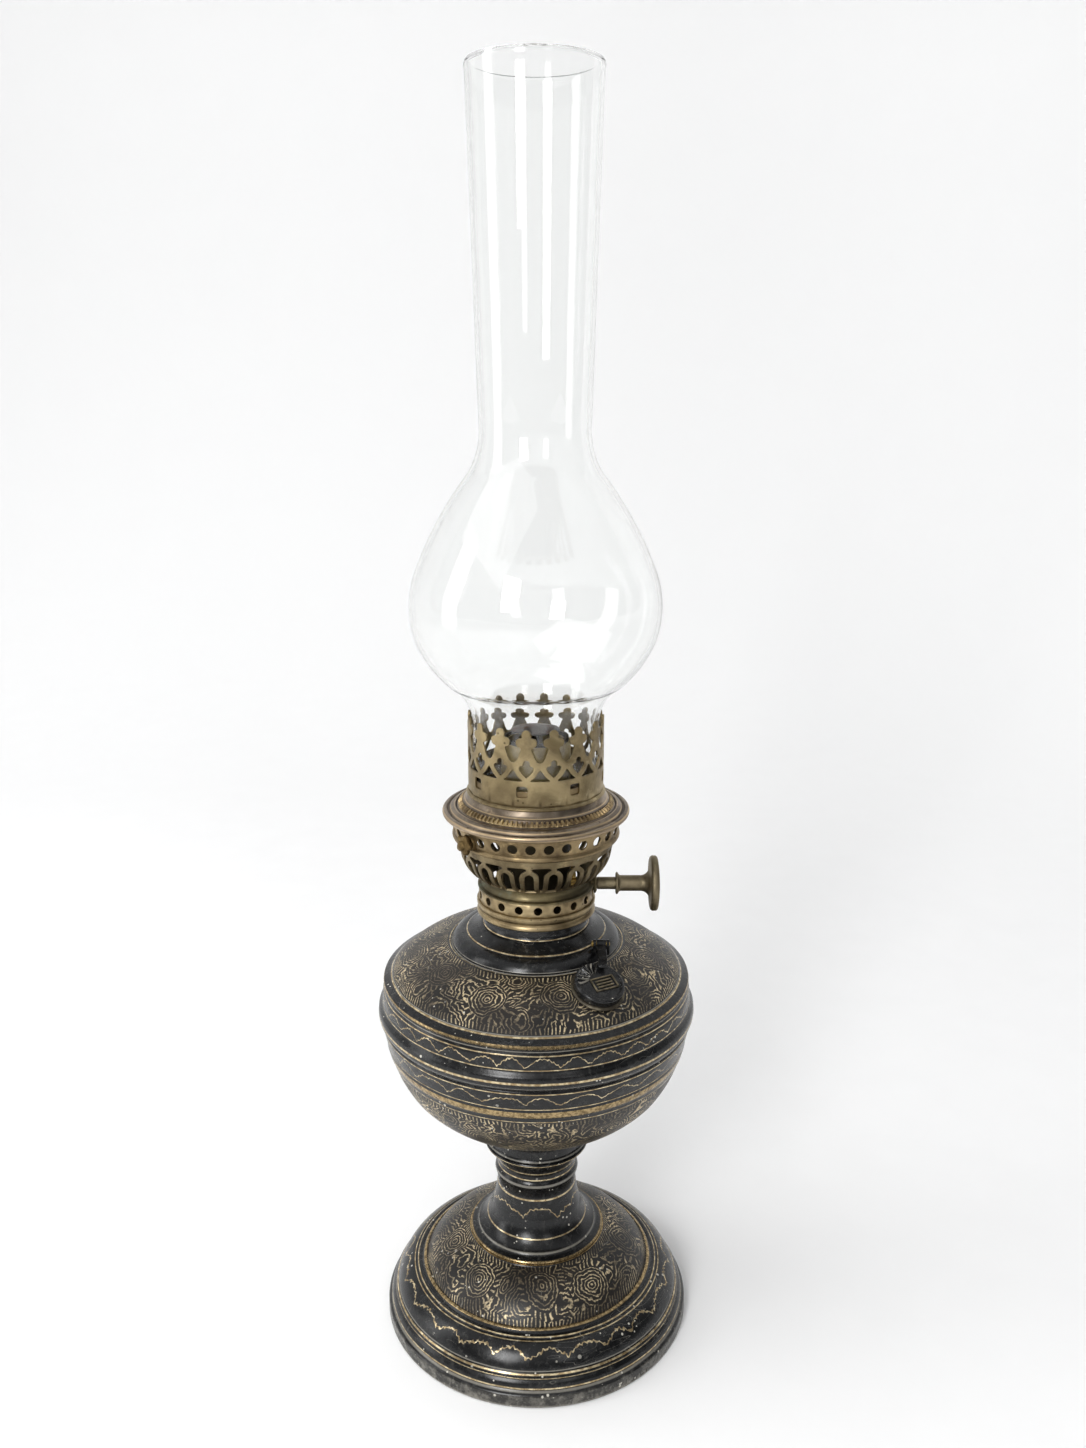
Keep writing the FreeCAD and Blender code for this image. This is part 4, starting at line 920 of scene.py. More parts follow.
stemMarks = {
    "seed": 2.6,
    "bands": [("z", 40.4 * mm, 41.5 * mm)],
    "lines": [
        ("z", 77.9 * mm, 0.3 * mm), ("z", 74.5 * mm, 0.3 * mm), ("z", 64.1 * mm, 0.36 * mm),
        ("z", 47.3 * mm, 0.24 * mm), ("z", 85.2 * mm, 0.2 * mm),
    ],
    "greys": [("z", 43.1 * mm, 0.4 * mm), ("z", 71.7 * mm, 0.6 * mm)],
    "waves": [{
        "axis": "z", "centre": 57.2 * mm, "swing": 2.6 * mm, "count": 6, "jag": 0.5 * mm,
        "half": 0.26 * mm, "phase": 1.1,
    }],
}
stemOutline = [
    (30.4 * mm, footTop), (30.5 * mm, footTop + 0.6 * mm), (30.2 * mm, footTop + 1.1 * mm),
    (28.6 * mm, footTop + 1.6 * mm), bend(27.4 * mm, footTop + 2.1 * mm),
    (26.8 * mm, footTop + 3.2 * mm),
    (26.2 * mm, footTop + 3.5 * mm), bend(22.6 * mm, footTop + 7.2 * mm),
    (20.0 * mm, footTop + 14 * mm), bend(18.7 * mm, footTop + 19 * mm),
    (18.2 * mm, footTop + 23.2 * mm), (17.8 * mm, footTop + 24.2 * mm),
    (18.0 * mm, footTop + 25.2 * mm),
    (18.0 * mm, footTop + 28.9 * mm), (18.3 * mm, footTop + 29.4 * mm),
    bend(19.0 * mm, footTop + 31.2 * mm),
    (18.3 * mm, footTop + 33 * mm), (17.9 * mm, footTop + 33.6 * mm),
    (17.9 * mm, footTop + 36.6 * mm),
    (18.3 * mm, footTop + 37.4 * mm), bend(19.2 * mm, footTop + 40.4 * mm),
    (21.8 * mm, footTop + 43.4 * mm),
    (22.9 * mm, footTop + 44.2 * mm), bend(23.5 * mm, footTop + 44.9 * mm), (23.2 * mm, stemTop),
    (16.4 * mm, stemTop), (16.4 * mm, footTop + 17 * mm), bend(21.4 * mm, footTop + 5 * mm),
    (28.8 * mm, footTop),
]
lathe("lacqueredStem", profile(stemOutline), "lamp_body",
      lacquerPaint("stemLacquer", stemMarks), ["stem_column"])

cupMarks = {
    "seed": 4.4,
    "greys": [("z", 87.4 * mm, 0.3 * mm)],
    "lines": [("z", 99.9 * mm, 0.2 * mm)],
}
cupOutline = [
    (3.4 * mm, stemTop), (22.0 * mm, stemTop), bend(23.2 * mm, stemTop + 0.5 * mm),
    (23.0 * mm, stemTop + 1.8 * mm), (22.6 * mm, stemTop + 2.2 * mm),
    (23.1 * mm, stemTop + 5 * mm),
    bend(25.1 * mm, fontBase - 1.6 * mm), (32.4 * mm, fontBase + 2.6 * mm),
    (32.6 * mm, fontBase + 2.9 * mm),
    (31.6 * mm, fontBase + 2.9 * mm), (22.5 * mm, fontBase), (14 * mm, fontBase),
    (14 * mm, stemTop + 2.2 * mm), (3.4 * mm, stemTop + 2.2 * mm),
]
lathe("lacqueredCup", profile(cupOutline), "lamp_body",
      lacquerPaint("cupLacquer", cupMarks), ["font_cup"])

r = fontRadius
bowlMarks = {
    "seed": 7.1,
    "zones": [{
        "axis": "z", "low": 102.0 * mm, "high": 133.9 * mm, "count": 13, "stagger": 9.0 * mm,
        "slant": 1.25, "start": 0.2, "pitch": 1.4 * mm, "line": 0.34,
    }],
    "bands": [("z", 137.2 * mm, 140.1 * mm)],
    "lines": [
        ("z", 134.6 * mm, 0.22 * mm), ("z", 141.4 * mm, 0.16 * mm), ("z", 149.2 * mm, 0.24 * mm),
        ("z", 154.7 * mm, 0.5 * mm), ("z", 159.8 * mm, 0.2 * mm), ("z", 165.7 * mm, 0.2 * mm),
    ],
    "greys": [("z", 152.2 * mm, 0.16 * mm), ("z", 167.2 * mm, 0.2 * mm)],
    "waves": [
        {"axis": "z", "centre": 162.5 * mm, "swing": 1.9 * mm, "count": 33, "jag": 0.42 * mm,
         "half": 0.21 * mm, "phase": 0.5},
        {"axis": "z", "centre": 145.3 * mm, "swing": 2.1 * mm, "count": 26, "jag": 0.4 * mm,
         "half": 0.22 * mm, "phase": 1.0},
    ],
}
bowlOutline = [
    (3.4 * mm, fontBase), (r - 49.4 * mm, fontBase), bend(r - 28.7 * mm, fontBase + 7.6 * mm),
    (r - 12 * mm, fontBase + 22 * mm), bend(r - 7 * mm, fontBase + 31.2 * mm),
    (r - 4.4 * mm, fontBase + 38.6 * mm), (r - 4.0 * mm, fontBase + 39.1 * mm),
    (r - 3.2 * mm, fontBase + 42.2 * mm), (r - 3.3 * mm, fontBase + 43.4 * mm),
    bend(r - 2.1 * mm, fontBase + 48.5 * mm), (r - 1.5 * mm, fontBase + 51.4 * mm),
    (r - 1.9 * mm, fontBase + 52.2 * mm), (r - 0.9 * mm, fontBase + 53.6 * mm),
    bend(r, fontBase + 55.6 * mm), (r, fontBase + 57.6 * mm),
    bend(r - 0.5 * mm, fontBase + 59.6 * mm),
    (r - 1.5 * mm, fontBase + 60.6 * mm), (r - 1.8 * mm, fontBase + 61.6 * mm),
    (r - 2.2 * mm, fontBase + 67 * mm), (r - 3.0 * mm, fontBase + 68.6 * mm),
    (r - 3.3 * mm, seam),
]
lathe("lacqueredBowl", shell(bowlOutline, wall), "lamp_body",
      lacquerPaint("bowlLacquer", bowlMarks), ["font_bowl"], 256)

shoulderMarks = {
    "seed": 9.7,
    "zones": [{
        "axis": "r", "low": 38.6 * mm, "high": 62.6 * mm, "count": 12, "stagger": 4.2 * mm,
        "slant": 1.12, "start": 0.12, "pitch": 1.4 * mm,
    }],
    "bands": [("z", 167.9 * mm, 169.9 * mm)],
    "lines": [("r", 63.4 * mm, 0.26 * mm), ("r", 37.7 * mm, 0.18 * mm)],
    "greys": [("r", 62.9 * mm, 0.16 * mm), ("r", 36.9 * mm, 0.2 * mm)],
}
shoulderOutline = [
    (r - 3.3 * mm, seam), (r - 2.9 * mm, seam + 0.5 * mm), bend(r - 2.5 * mm, seam + 1.2 * mm),
    (r - 3.4 * mm, seam + 2.2 * mm), (r - 4.4 * mm, seam + 2.7 * mm),
    (r - 5.3 * mm, seam + 3.1 * mm),
    (r - 6.0 * mm, seam + 3.7 * mm),
    bend((r - 3.2 * mm + 36.5 * mm) / 2 + 0.6 * mm, (seam + 2.8 * mm + shoulderTop) / 2 + 2.2 * mm),
    (37.6 * mm, shoulderTop - 0.1 * mm), (37.0 * mm, shoulderTop - 0.4 * mm),
    (36.5 * mm, shoulderTop), (32.5 * mm, shoulderTop),
]
lathe("lacqueredShoulder", shell(shoulderOutline, wall), "lamp_body",
      lacquerPaint("shoulderLacquer", shoulderMarks), ["font_shoulder"], 256)

collarMarks = {
    "seed": 12.9,
    "lines": [("r", 30.1 * mm, 0.2 * mm), ("z", 194.1 * mm, 0.16 * mm)],
    "greys": [("z", 185.9 * mm, 0.3 * mm)],
}
collarOutline = [
    (20.3 * mm, shoulderTop), (35.9 * mm, shoulderTop), (36.5 * mm, shoulderTop + 0.5 * mm),
    bend(35.3 * mm, shoulderTop + 2.6 * mm), (31.2 * mm, shoulderTop + 4.7 * mm),
    (30.6 * mm, shoulderTop + 4.7 * mm), (29.8 * mm, shoulderTop + 5.4 * mm),
    (29.0 * mm, shoulderTop + 5.6 * mm), bend(25.8 * mm, shoulderTop + 7 * mm),
    (23.6 * mm, shoulderTop + 8.4 * mm), (23.2 * mm, shoulderTop + 8.4 * mm),
    (22.6 * mm, shoulderTop + 9.1 * mm), (22.5 * mm, shoulderTop + 11 * mm),
    (22.5 * mm, collarTop),
    (20.3 * mm, collarTop),
]
lathe("lacqueredCollar", profile(collarOutline), "lamp_body",
      lacquerPaint("collarLacquer", collarMarks), ["font_collar"])
print("lamp body made")


# ---- burner: base ring, vent ring, basket, spindle and knob

paints = {name: brassPaint(name + "Brass", look) for name, look in brassLooks.items()}
ventBase = bottom("vent_collar")
ventTop = bottom("burner_basket")
basketTop = top("burner_basket")
spindleLevel = (top("wick_spindle") + bottom("wick_spindle")) / 2

baseRingOutline = [
    (18.7 * mm, shoulderTop + 4 * mm), (20.0 * mm, shoulderTop + 4 * mm),
    (20.0 * mm, collarTop + 0.1 * mm),
    (24.6 * mm, collarTop + 0.1 * mm), bend(25.5 * mm, collarTop + 0.5 * mm),
    (25.5 * mm, collarTop + 1.4 * mm), (25.2 * mm, collarTop + 2.2 * mm),
    (24.8 * mm, collarTop + 2.5 * mm),
    (24.8 * mm, collarTop + 2.8 * mm), (25.2 * mm, collarTop + 3.1 * mm),
    (25.5 * mm, collarTop + 4.2 * mm),
    (25.6 * mm, ventBase - 0.8 * mm), bend(25.5 * mm, ventBase - 0.1 * mm),
    (24.7 * mm, ventBase + 0.1 * mm),
    (14.9 * mm, ventBase), (14.9 * mm, ventBase - 1.4 * mm), (18.7 * mm, ventBase - 1.4 * mm),
]
lathe("burnerBaseRing", profile(baseRingOutline), "burner", paints["ring"],
      ["burner_base_ring"])

vent = {"radius": 24.7 * mm, "holes": 19, "hole": 1.75 * mm, "holeRise": 3.2 * mm, "tall": 6.0 * mm,
        "turned": math.radians(2.3)}
ventLine = profile([
    (vent["radius"] + 0.1 * mm, ventBase), (vent["radius"], ventBase + vent["tall"]),
])
repeat = turn * vent["radius"] / vent["holes"]
piercedRing(
    "ventRing",
    [(-0.5, 0.0), (0.5, 0.0), (0.5, 1.0), (-0.5, 1.0)],
    [circlePoints(0.0, vent["holeRise"] / vent["tall"],
                  vent["hole"] / repeat, vent["hole"] / vent["tall"])],
    vent["holes"], ventLine, 0.7 * mm, "burner", paints["ring"],
    ["vent_collar"], turned=vent["turned"], bevel=0.12 * mm, fine=(6, 4),
)
ventCollarOutline = [
    (24.0 * mm, ventBase + 5.6 * mm), (24.6 * mm, ventBase + 5.8 * mm),
    bend(25.2 * mm, ventBase + 6.4 * mm), (24.6 * mm, ventBase + 7.0 * mm),
    (23.7 * mm, ventBase + 7.1 * mm), bend(22.9 * mm, ventBase + 8.3 * mm),
    (23.0 * mm, ventBase + 9.8 * mm), bend(23.5 * mm, ventBase + 11.0 * mm),
    (24.9 * mm, ventBase + 12.0 * mm), (24.3 * mm, ventBase + 12.5 * mm),
    bend(22.9 * mm, ventBase + 11.3 * mm), (22.3 * mm, ventBase + 9.8 * mm),
    (22.3 * mm, ventBase + 6.2 * mm),
]
lathe("ventCollar", profile(ventCollarOutline, 0.5 * mm), "burner", paints["collar"])

basket = {"arches": 20, "wall": 0.9 * mm, "turned": math.radians(-4.8)}
basketLine = profile([
    (24.3 * mm, ventTop - 0.8 * mm), bend(29.9 * mm, ventTop + 3.9 * mm),
    (32.0 * mm, ventTop + 8.4 * mm), (33.0 * mm, basketTop - 5 * mm),
    (33.2 * mm, basketTop - 4 * mm), (33.2 * mm, basketTop),
], 0.5 * mm)
lineLength = sum(math.dist(a, b) for a, b in zip(basketLine, basketLine[1:]))
repeat = turn * 30.6 * mm / basket["arches"]


def onBasket(x, z):
    return x * mm / repeat, z * mm / lineLength


half = repeat / mm / 2
gapRight = [
    (half, 3.4), (half - 0.5, 3.5), (half - 0.85, 4.4), (half - 0.95, 6.8), (half - 0.95, 13.2),
    (half - 1.2, 14.9), (half - 2.2, 16.2), (half - 3.9, 17.3), (half - 3.6, 18.3), (half, 18.4),
]
gapRight = [onBasket(x, z * 0.95) for x, z in gapRight]
gapRight = [gapRight[0]] + roundedPath(gapRight, 0.4, 3)[4:-4] + [gapRight[-1]]
gapLeft = [(-x, y) for x, y in gapRight[::-1]]
slotShape = [
    (-3.0, 1.9), (3.0, 1.9), (3.0, 2.6), (2.1, 3.9), (1.9, 6.4), (1.9, 13.0), (1.55, 14.5),
    (0.0, 15.6), (-1.55, 14.5), (-1.9, 13.0), (-1.9, 6.4), (-2.1, 3.9), (-3.0, 2.6),
]
slotShape = [(x, z * 0.95) for x, z in slotShape]
slotShape = roundedPath([onBasket(x, z) for x, z in slotShape], 0.36, 3)
basketTile = [(-0.5, 0.0), (0.5, 0.0)] + gapRight + [(0.5, 1.0), (-0.5, 1.0)] + gapLeft
piercedRing("pierceBasket", basketTile, [slotShape], basket["arches"], basketLine,
            basket["wall"], "burner", paints["basket"], ["burner_basket"],
            turned=basket["turned"], bevel=0.2 * mm, fine=(12, 24))

knob = {"face": 53.3 * mm, "long": 18.9 * mm}
face = knob["face"]
back = face - knob["long"]
layAlongX = Matrix.Translation((0, 0, spindleLevel)) @ Matrix.Rotation(math.pi / 2, 4, "Y")
knobOutline = [
    (2.4 * mm, back), (4.3 * mm, back), bend(4.75 * mm, back + 0.3 * mm),
    (4.6 * mm, back + 0.9 * mm),
    (3.9 * mm, back + 1.3 * mm), (3.5 * mm, back + 1.7 * mm), (3.4 * mm, back + 2.2 * mm),
    (3.4 * mm, face - 8.6 * mm), bend(4.4 * mm, face - 5.6 * mm), (7.6 * mm, face - 4.4 * mm),
    (10.8 * mm, face - 4.1 * mm), bend(11.8 * mm, face - 3.4 * mm), (11.9 * mm, face - 2.3 * mm),
    bend(11.7 * mm, face - 1.3 * mm), (10.8 * mm, face - 0.8 * mm),
    bend(6.0 * mm, face - 0.2 * mm),
    (0.0, face), (0.0, face - 6 * mm), (2.4 * mm, face - 6 * mm),
]
lathe("wickKnob", profile(knobOutline, 0.5 * mm), "spindle", paints["knob"],
      ["wick_knob"], 128, at=layAlongX)
shaftOutline = [
    (0.0, 15.0 * mm), (2.1 * mm, 15.0 * mm), (2.4 * mm, 15.3 * mm), (2.4 * mm, 26.4 * mm),
    (2.65 * mm, 26.6 * mm), (2.65 * mm, back - 0.1 * mm), (2.4 * mm, back),
    (2.4 * mm, face - 6.2 * mm),
    (0.0, face - 6 * mm),
]
lathe("wickSpindle", profile(shaftOutline, 0.8 * mm), "spindle", paints["knob"],
      ["wick_spindle"], 64, at=layAlongX)
bushOutline = [
    (2.46 * mm, 22.4 * mm), (3.35 * mm, 22.4 * mm), (3.35 * mm, 24.9 * mm), (4.1 * mm, 25.0 * mm),
    bend(4.3 * mm, 25.4 * mm), (3.9 * mm, 25.9 * mm), (3.3 * mm, 26.2 * mm),
    (2.46 * mm, 26.3 * mm),
]
lathe("spindleBush", profile(bushOutline, 0.4 * mm), "burner", paints["collar"],
      ["spindle_bush"], 64, at=layAlongX)
print("burner made")


# ---- gallery: skirt, flange, serrated ring, crown, lock screw

skirtBase = bottom("gallery_skirt") + 0.2 * mm
skirtTop = top("gallery_skirt")
crownBase = bottom("gallery_crown")
crownTip = top("gallery_crown")
skirt = {"holes": 30, "hole": 2.1 * mm, "radius": 35.0 * mm, "flare": 1.5 * mm, "wall": 0.7 * mm,
         "turned": math.radians(-3.2)}
skirtLine = profile([
    (skirt["radius"], skirtBase + 2.6 * mm),
    (skirt["radius"] + skirt["flare"], skirtTop + 0.2 * mm),
])
tall = math.dist(skirtLine[0], skirtLine[-1])
repeat = turn * 35.7 * mm / skirt["holes"]
piercedRing(
    "galleryBand",
    [(-0.5, 0.0), (0.5, 0.0), (0.5, 1.0), (-0.5, 1.0)],
    [circlePoints(0.0, 3.1 * mm / tall, skirt["hole"] / repeat, skirt["hole"] / tall)],
    skirt["holes"], skirtLine, skirt["wall"], "gallery", paints["skirt"],
    ["gallery_skirt"], turned=skirt["turned"], bevel=0.14 * mm, fine=(6, 5),
)
beadOutline = [
    (33.56 * mm, skirtBase + 0.3 * mm), (34.2 * mm, skirtBase - 0.1 * mm),
    bend(35.3 * mm, skirtBase + 0.2 * mm), (35.7 * mm, skirtBase + 1.1 * mm),
    bend(35.4 * mm, skirtBase + 2.0 * mm), (34.9 * mm, skirtBase + 2.5 * mm),
    (34.9 * mm, skirtBase + 3.0 * mm), (34.2 * mm, skirtBase + 3.0 * mm),
    (33.56 * mm, skirtBase + 2 * mm),
]
lathe("galleryBead", profile(beadOutline, 0.35 * mm), "gallery", paints["skirt"])

low = skirtTop
flangeOutline = [
    (35.9 * mm, low), (36.6 * mm, low), (38.4 * mm, low + 0.3 * mm),
    bend(39.7 * mm, low + 1.5 * mm),
    (38.7 * mm, low + 2.9 * mm), (37.9 * mm, low + 3.0 * mm), (37.4 * mm, low + 2.4 * mm),
    (36.9 * mm, low + 2.4 * mm), (36.5 * mm, low + 3.0 * mm), bend(35.4 * mm, low + 4.1 * mm),
    (34.1 * mm, low + 4.4 * mm), (33.7 * mm, low + 4.0 * mm), (33.3 * mm, low + 4.3 * mm),
    (32.7 * mm, low + 4.6 * mm), (31.3 * mm, low + 5.9 * mm), (31.0 * mm, low + 6.9 * mm),
    bend(30.3 * mm, low + 7.3 * mm), (29.5 * mm, low + 8.3 * mm), (29.3 * mm, low + 9.3 * mm),
    (28.9 * mm, crownBase), (21.5 * mm, crownBase), (21.5 * mm, crownBase - 0.8 * mm),
    (28.3 * mm, crownBase - 0.8 * mm), (30.0 * mm, low + 5.4 * mm), (32.2 * mm, low + 3.6 * mm),
    (34.2 * mm, low + 2.4 * mm), (36.2 * mm, low + 1.2 * mm),
]
lathe("galleryFlange", profile(flangeOutline, 0.35 * mm), "gallery", paints["flange"],
      ["gallery_flange"], 256)

teeth = {"count": 96, "deep": 1.15 * mm}


def toothRing():
    # a ring whose upper edge is cut into slanting teeth
    ring = [(31.0, -4.3), (32.7, -5.5), (33.1, -5.2), (33.0, -4.7), (32.2, -3.8), (31.3, -3.3)]
    cutAway = [0.0, 0.0, 0.0, 0.35, 1.0, 0.8]
    vertices = []
    faces = []
    shares = (0.0, 0.12, 0.5, 0.62)
    heights = (0.0, 1.0, 1.0, 0.0)
    total = teeth["count"] * len(shares)
    for k in range(teeth["count"]):
        for share, high in zip(shares, heights):
            a = turn * (k + share) / teeth["count"]
            for (rr, zz), deep in zip(ring, cutAway):
                drop = (1 - high) * deep * teeth["deep"] / mm
                radius = (rr - drop * 0.45) * mm
                height = crownBase + (zz - drop * 0.55) * mm
                vertices.append((radius * math.sin(a), -radius * math.cos(a), height))
    size = len(ring)
    for i in range(total):
        j = (i + 1) % total
        for m in range(size):
            n = (m + 1) % size
            faces.append((i * size + m, j * size + m, j * size + n, i * size + n))
    newPiece("serratedRing", vertices, faces, "gallery", paints["teeth"],
             ["serrated_ring"], 30)


toothRing()

crown = {"points": 16, "radius": 28.5 * mm, "wall": 0.75 * mm, "band": 11.6 * mm, "turned": -7.4}
bandTop = crownBase + crown["band"]
crownLine = [(crown["radius"], crownBase + 1.2 * mm), (crown["radius"], crownTip)]
tall = crownTip - crownBase - 1.2 * mm
repeat = turn * crown["radius"] / crown["points"]


def onCrown(x, z):
    # x from the point's middle and z from the band's top, in millimetres
    return x * mm / repeat, (bandTop + z * mm - crownBase - 1.2 * mm) / tall


half = repeat / mm / 2
rightSide = [
    (half, 0.9), (2.0, 0.9), (1.6, 1.3), (2.7, 2.2), (3.8, 3.3), (4.6, 4.6), (half - 0.3, 5.5),
    (half, 5.6),
    (half, 8.8), (half - 0.7, 8.9), (half - 1.5, 9.6), (half - 2.3, 11.2), (half - 2.9, 13.2),
    (2.3, 14.0), (2.15, 14.6), (2.5, 15.1), (3.3, 15.2), (4.0, 15.8), (4.35, 16.8), (4.25, 17.8),
    (3.7, 18.5), (2.8, 18.8), (2.1, 18.9), (1.8, 19.4), (1.95, 20.2), (1.75, 21.2), (0.9, 22.1),
]
tipRise = (crownTip - bandTop) / mm
rightSide = [onCrown(x, min(z, tipRise)) for x, z in rightSide]
leftSide = [(-x, y) for x, y in rightSide[::-1]]
crownTile = [(-0.5, 0.0), (0.5, 0.0)] + rightSide + [onCrown(0.0, tipRise)] + leftSide
eyeShape = [
    (0.0, 2.3), (1.4, 3.8), (2.7, 5.3), (3.05, 6.2), (2.9, 7.0), (2.2, 7.5), (1.5, 7.3),
    (1.2, 7.6),
    (1.4, 8.4), (1.1, 9.3), (0.45, 9.8),
]
eyeShape = [onCrown(x, z) for x, z in eyeShape]
eyeShape = eyeShape + [(-x, y) for x, y in eyeShape[:0:-1]]
eyeShape = roundedPath(eyeShape, 0.3, 2)
slotSquare = roundedPath(
    [onCrown(x, z) for x, z in ((-4.1, -6.0), (0.5, -6.0), (0.5, -1.3), (-4.1, -1.3))], 0.2, 3)
piercedRing("fleuronCrown", crownTile, [[eyeShape, slotSquare], [eyeShape]], crown["points"],
            crownLine, crown["wall"], "gallery", paints["crown"],
            ["gallery_crown"], turned=math.radians(crown["turned"]), bevel=0.16 * mm,
            fine=(12, 22))
crownFootOutline = [
    (28.0 * mm, crownBase), (29.1 * mm, crownBase), bend(29.4 * mm, crownBase + 0.5 * mm),
    (29.0 * mm, crownBase + 1.0 * mm), (28.55 * mm, crownBase + 1.5 * mm),
    (28.0 * mm, crownBase + 1.5 * mm),
]
lathe("crownFoot", profile(crownFootOutline, 0.3 * mm), "gallery", paints["crown"])
print("gallery made")


def prism(name, outline, low, high, place, body, material, replaces, bevel):
    # a flat outline of (u, v) pushed from low to high; place(u, v, w) lays each point
    count = len(outline)
    vertices = [place(u, v, low) for u, v in outline] + [place(u, v, high) for u, v in outline]
    faces = [tuple(range(count))[::-1], tuple(range(count, 2 * count))]
    for i in range(count):
        j = (i + 1) % count
        faces.append((i, j, count + j, count + i))
    soften(newPiece(name, vertices, faces, body, material, replaces, 30), bevel)


lock = {"azimuth": math.radians(-48.5), "tip": 33.4 * mm, "lobes": 5}
lockLevel = skirtBase + 4.4 * mm
layOut = (Matrix.Translation((0, 0, lockLevel)) @ Matrix.Rotation(lock["azimuth"], 4, "Z")
          @ Matrix.Rotation(math.pi / 2, 4, "X"))


def lobed(x, y, z):
    # the head's rounded lobes, worn unevenly
    a = math.atan2(y, x)
    size = math.hypot(x, y)
    out = max(0.0, min(1.0, (size - 1.8 * mm) / (1.5 * mm)))
    grow = 1 + 0.13 * out * math.cos(lock["lobes"] * a) + 0.03 * out * math.sin(2 * a + 1)
    return x * grow * 0.9, y * grow * 0.9, z


tip = lock["tip"]
lockOutline = [
    (0.0, tip), (1.2 * mm, tip), (1.45 * mm, tip + 0.3 * mm), (1.45 * mm, tip + 3.6 * mm),
    (3.2 * mm, tip + 3.9 * mm), bend(4.6 * mm, tip + 5.1 * mm), (3.9 * mm, tip + 6.5 * mm),
    (2.5 * mm, tip + 6.9 * mm), bend(2.0 * mm, tip + 7.6 * mm), (1.2 * mm, tip + 8.0 * mm),
    (0.0, tip + 8.2 * mm),
]
lathe("lockScrew", profile(lockOutline, 0.3 * mm), "lock_screw", paints["boss"],
      ["lock_screw"], 60, at=layOut, shape=lobed)
bossOutline = [
    (1.56 * mm, 34.6 * mm), (3.3 * mm, 34.6 * mm), (3.2 * mm, 35.9 * mm),
    bend(2.9 * mm, 36.5 * mm),
    (2.3 * mm, 36.75 * mm), (1.56 * mm, 36.8 * mm),
]
lathe("lockBoss", profile(bossOutline, 0.3 * mm), "gallery", paints["boss"],
      ["lock_boss"], 48, at=layOut)


# ---- filler cap and its hinge

filler = {"azimuth": math.radians(31.0), "reach": 48.9 * mm, "radius": 10.4 * mm, "tall": 4.6 * mm}
arcStart = (fontRadius - 5.8 * mm, seam + 3.6 * mm)
arcMiddle = ((fontRadius - 3.2 * mm + 36.5 * mm) / 2 + 0.6 * mm,
             (seam + 2.8 * mm + shoulderTop) / 2 + 2.2 * mm)
centre = circleCentre(arcStart, arcMiddle, (36.5 * mm, shoulderTop))
arcRadius = math.dist(centre, arcStart)
sideways = filler["reach"] - centre[0]
fillerRise = centre[1] + math.sqrt(arcRadius ** 2 - sideways ** 2)
tilt = math.asin(sideways / arcRadius)
fillerAt = (
    Matrix.Translation((filler["reach"] * math.sin(filler["azimuth"]),
                        -filler["reach"] * math.cos(filler["azimuth"]), fillerRise))
    @ Matrix.Rotation(filler["azimuth"], 4, "Z") @ Matrix.Rotation(tilt, 4, "X")
)

neckPaint = brassPaint("fillerNeckBrass", {
    "deep": srgb(58, 55, 50), "brass": srgb(120, 112, 96), "brown": srgb(50, 46, 41),
    "light": srgb(176, 166, 142), "pitAndShade": srgb(30, 28, 25), "rough": 0.42, "cloud": 110.0,
})
neckOutline = [
    (7.0 * mm, -2.4 * mm), (7.8 * mm, -2.4 * mm), (7.8 * mm, -0.3 * mm), (10.8 * mm, -0.4 * mm),
    bend(11.3 * mm, 0.1 * mm), (11.0 * mm, 0.75 * mm), (10.4 * mm, 0.95 * mm),
    (7.9 * mm, 1.1 * mm),
    (7.8 * mm, 3.0 * mm), (7.6 * mm, 3.1 * mm), (7.0 * mm, 3.1 * mm),
]
# the raised bars get lighter brass colours as a painted highlight
panelPaint = brassPaint("capPanelHighlight", {
    "deep": srgb(92, 86, 74), "brass": srgb(160, 148, 122), "brown": srgb(70, 64, 55),
    "light": srgb(204, 192, 164), "pitAndShade": srgb(40, 37, 32), "rough": 0.4, "cloud": 220.0,
})
lathe("fillerNeck", profile(neckOutline, 0.4 * mm), "lamp_body", neckPaint,
      ["filler_neck"], 96, at=fillerAt)

fan = {"x": -1.6 * mm, "y": 2.6 * mm, "blades": 19, "deep": 0.85 * mm}


def fanned(x, y, z):
    # flutes that spread over the back and left of the top from beside the panel
    size = math.hypot(x, y)
    if z < filler["tall"] - 1.2 * mm or size < 0.1 * mm:
        return x, y, z
    dx, dy = x - fan["x"], y - fan["y"]
    away = math.hypot(dx, dy)
    angle = math.degrees(math.atan2(dy, dx))
    side = min(1.0, max(0.0, (angle - 38) / 12)) * min(1.0, max(0.0, (196 - angle) / 12))
    if angle < -150:
        side = min(1.0, max(0.0, (-164 - angle) / 12))
    edge = min(1.0, max(0.0, (filler["radius"] - 0.15 * mm - size) / (0.5 * mm)))
    root = min(1.0, max(0.0, (away - 1.2 * mm) / (1.6 * mm)))
    wobbly = math.radians(angle) * fan["blades"] + 0.8 * math.sin(away / mm * 0.9)
    flute = 0.5 + 0.5 * math.cos(wobbly)
    return x, y, z - fan["deep"] * side * edge * root * flute + 0.25 * mm * side * edge * root


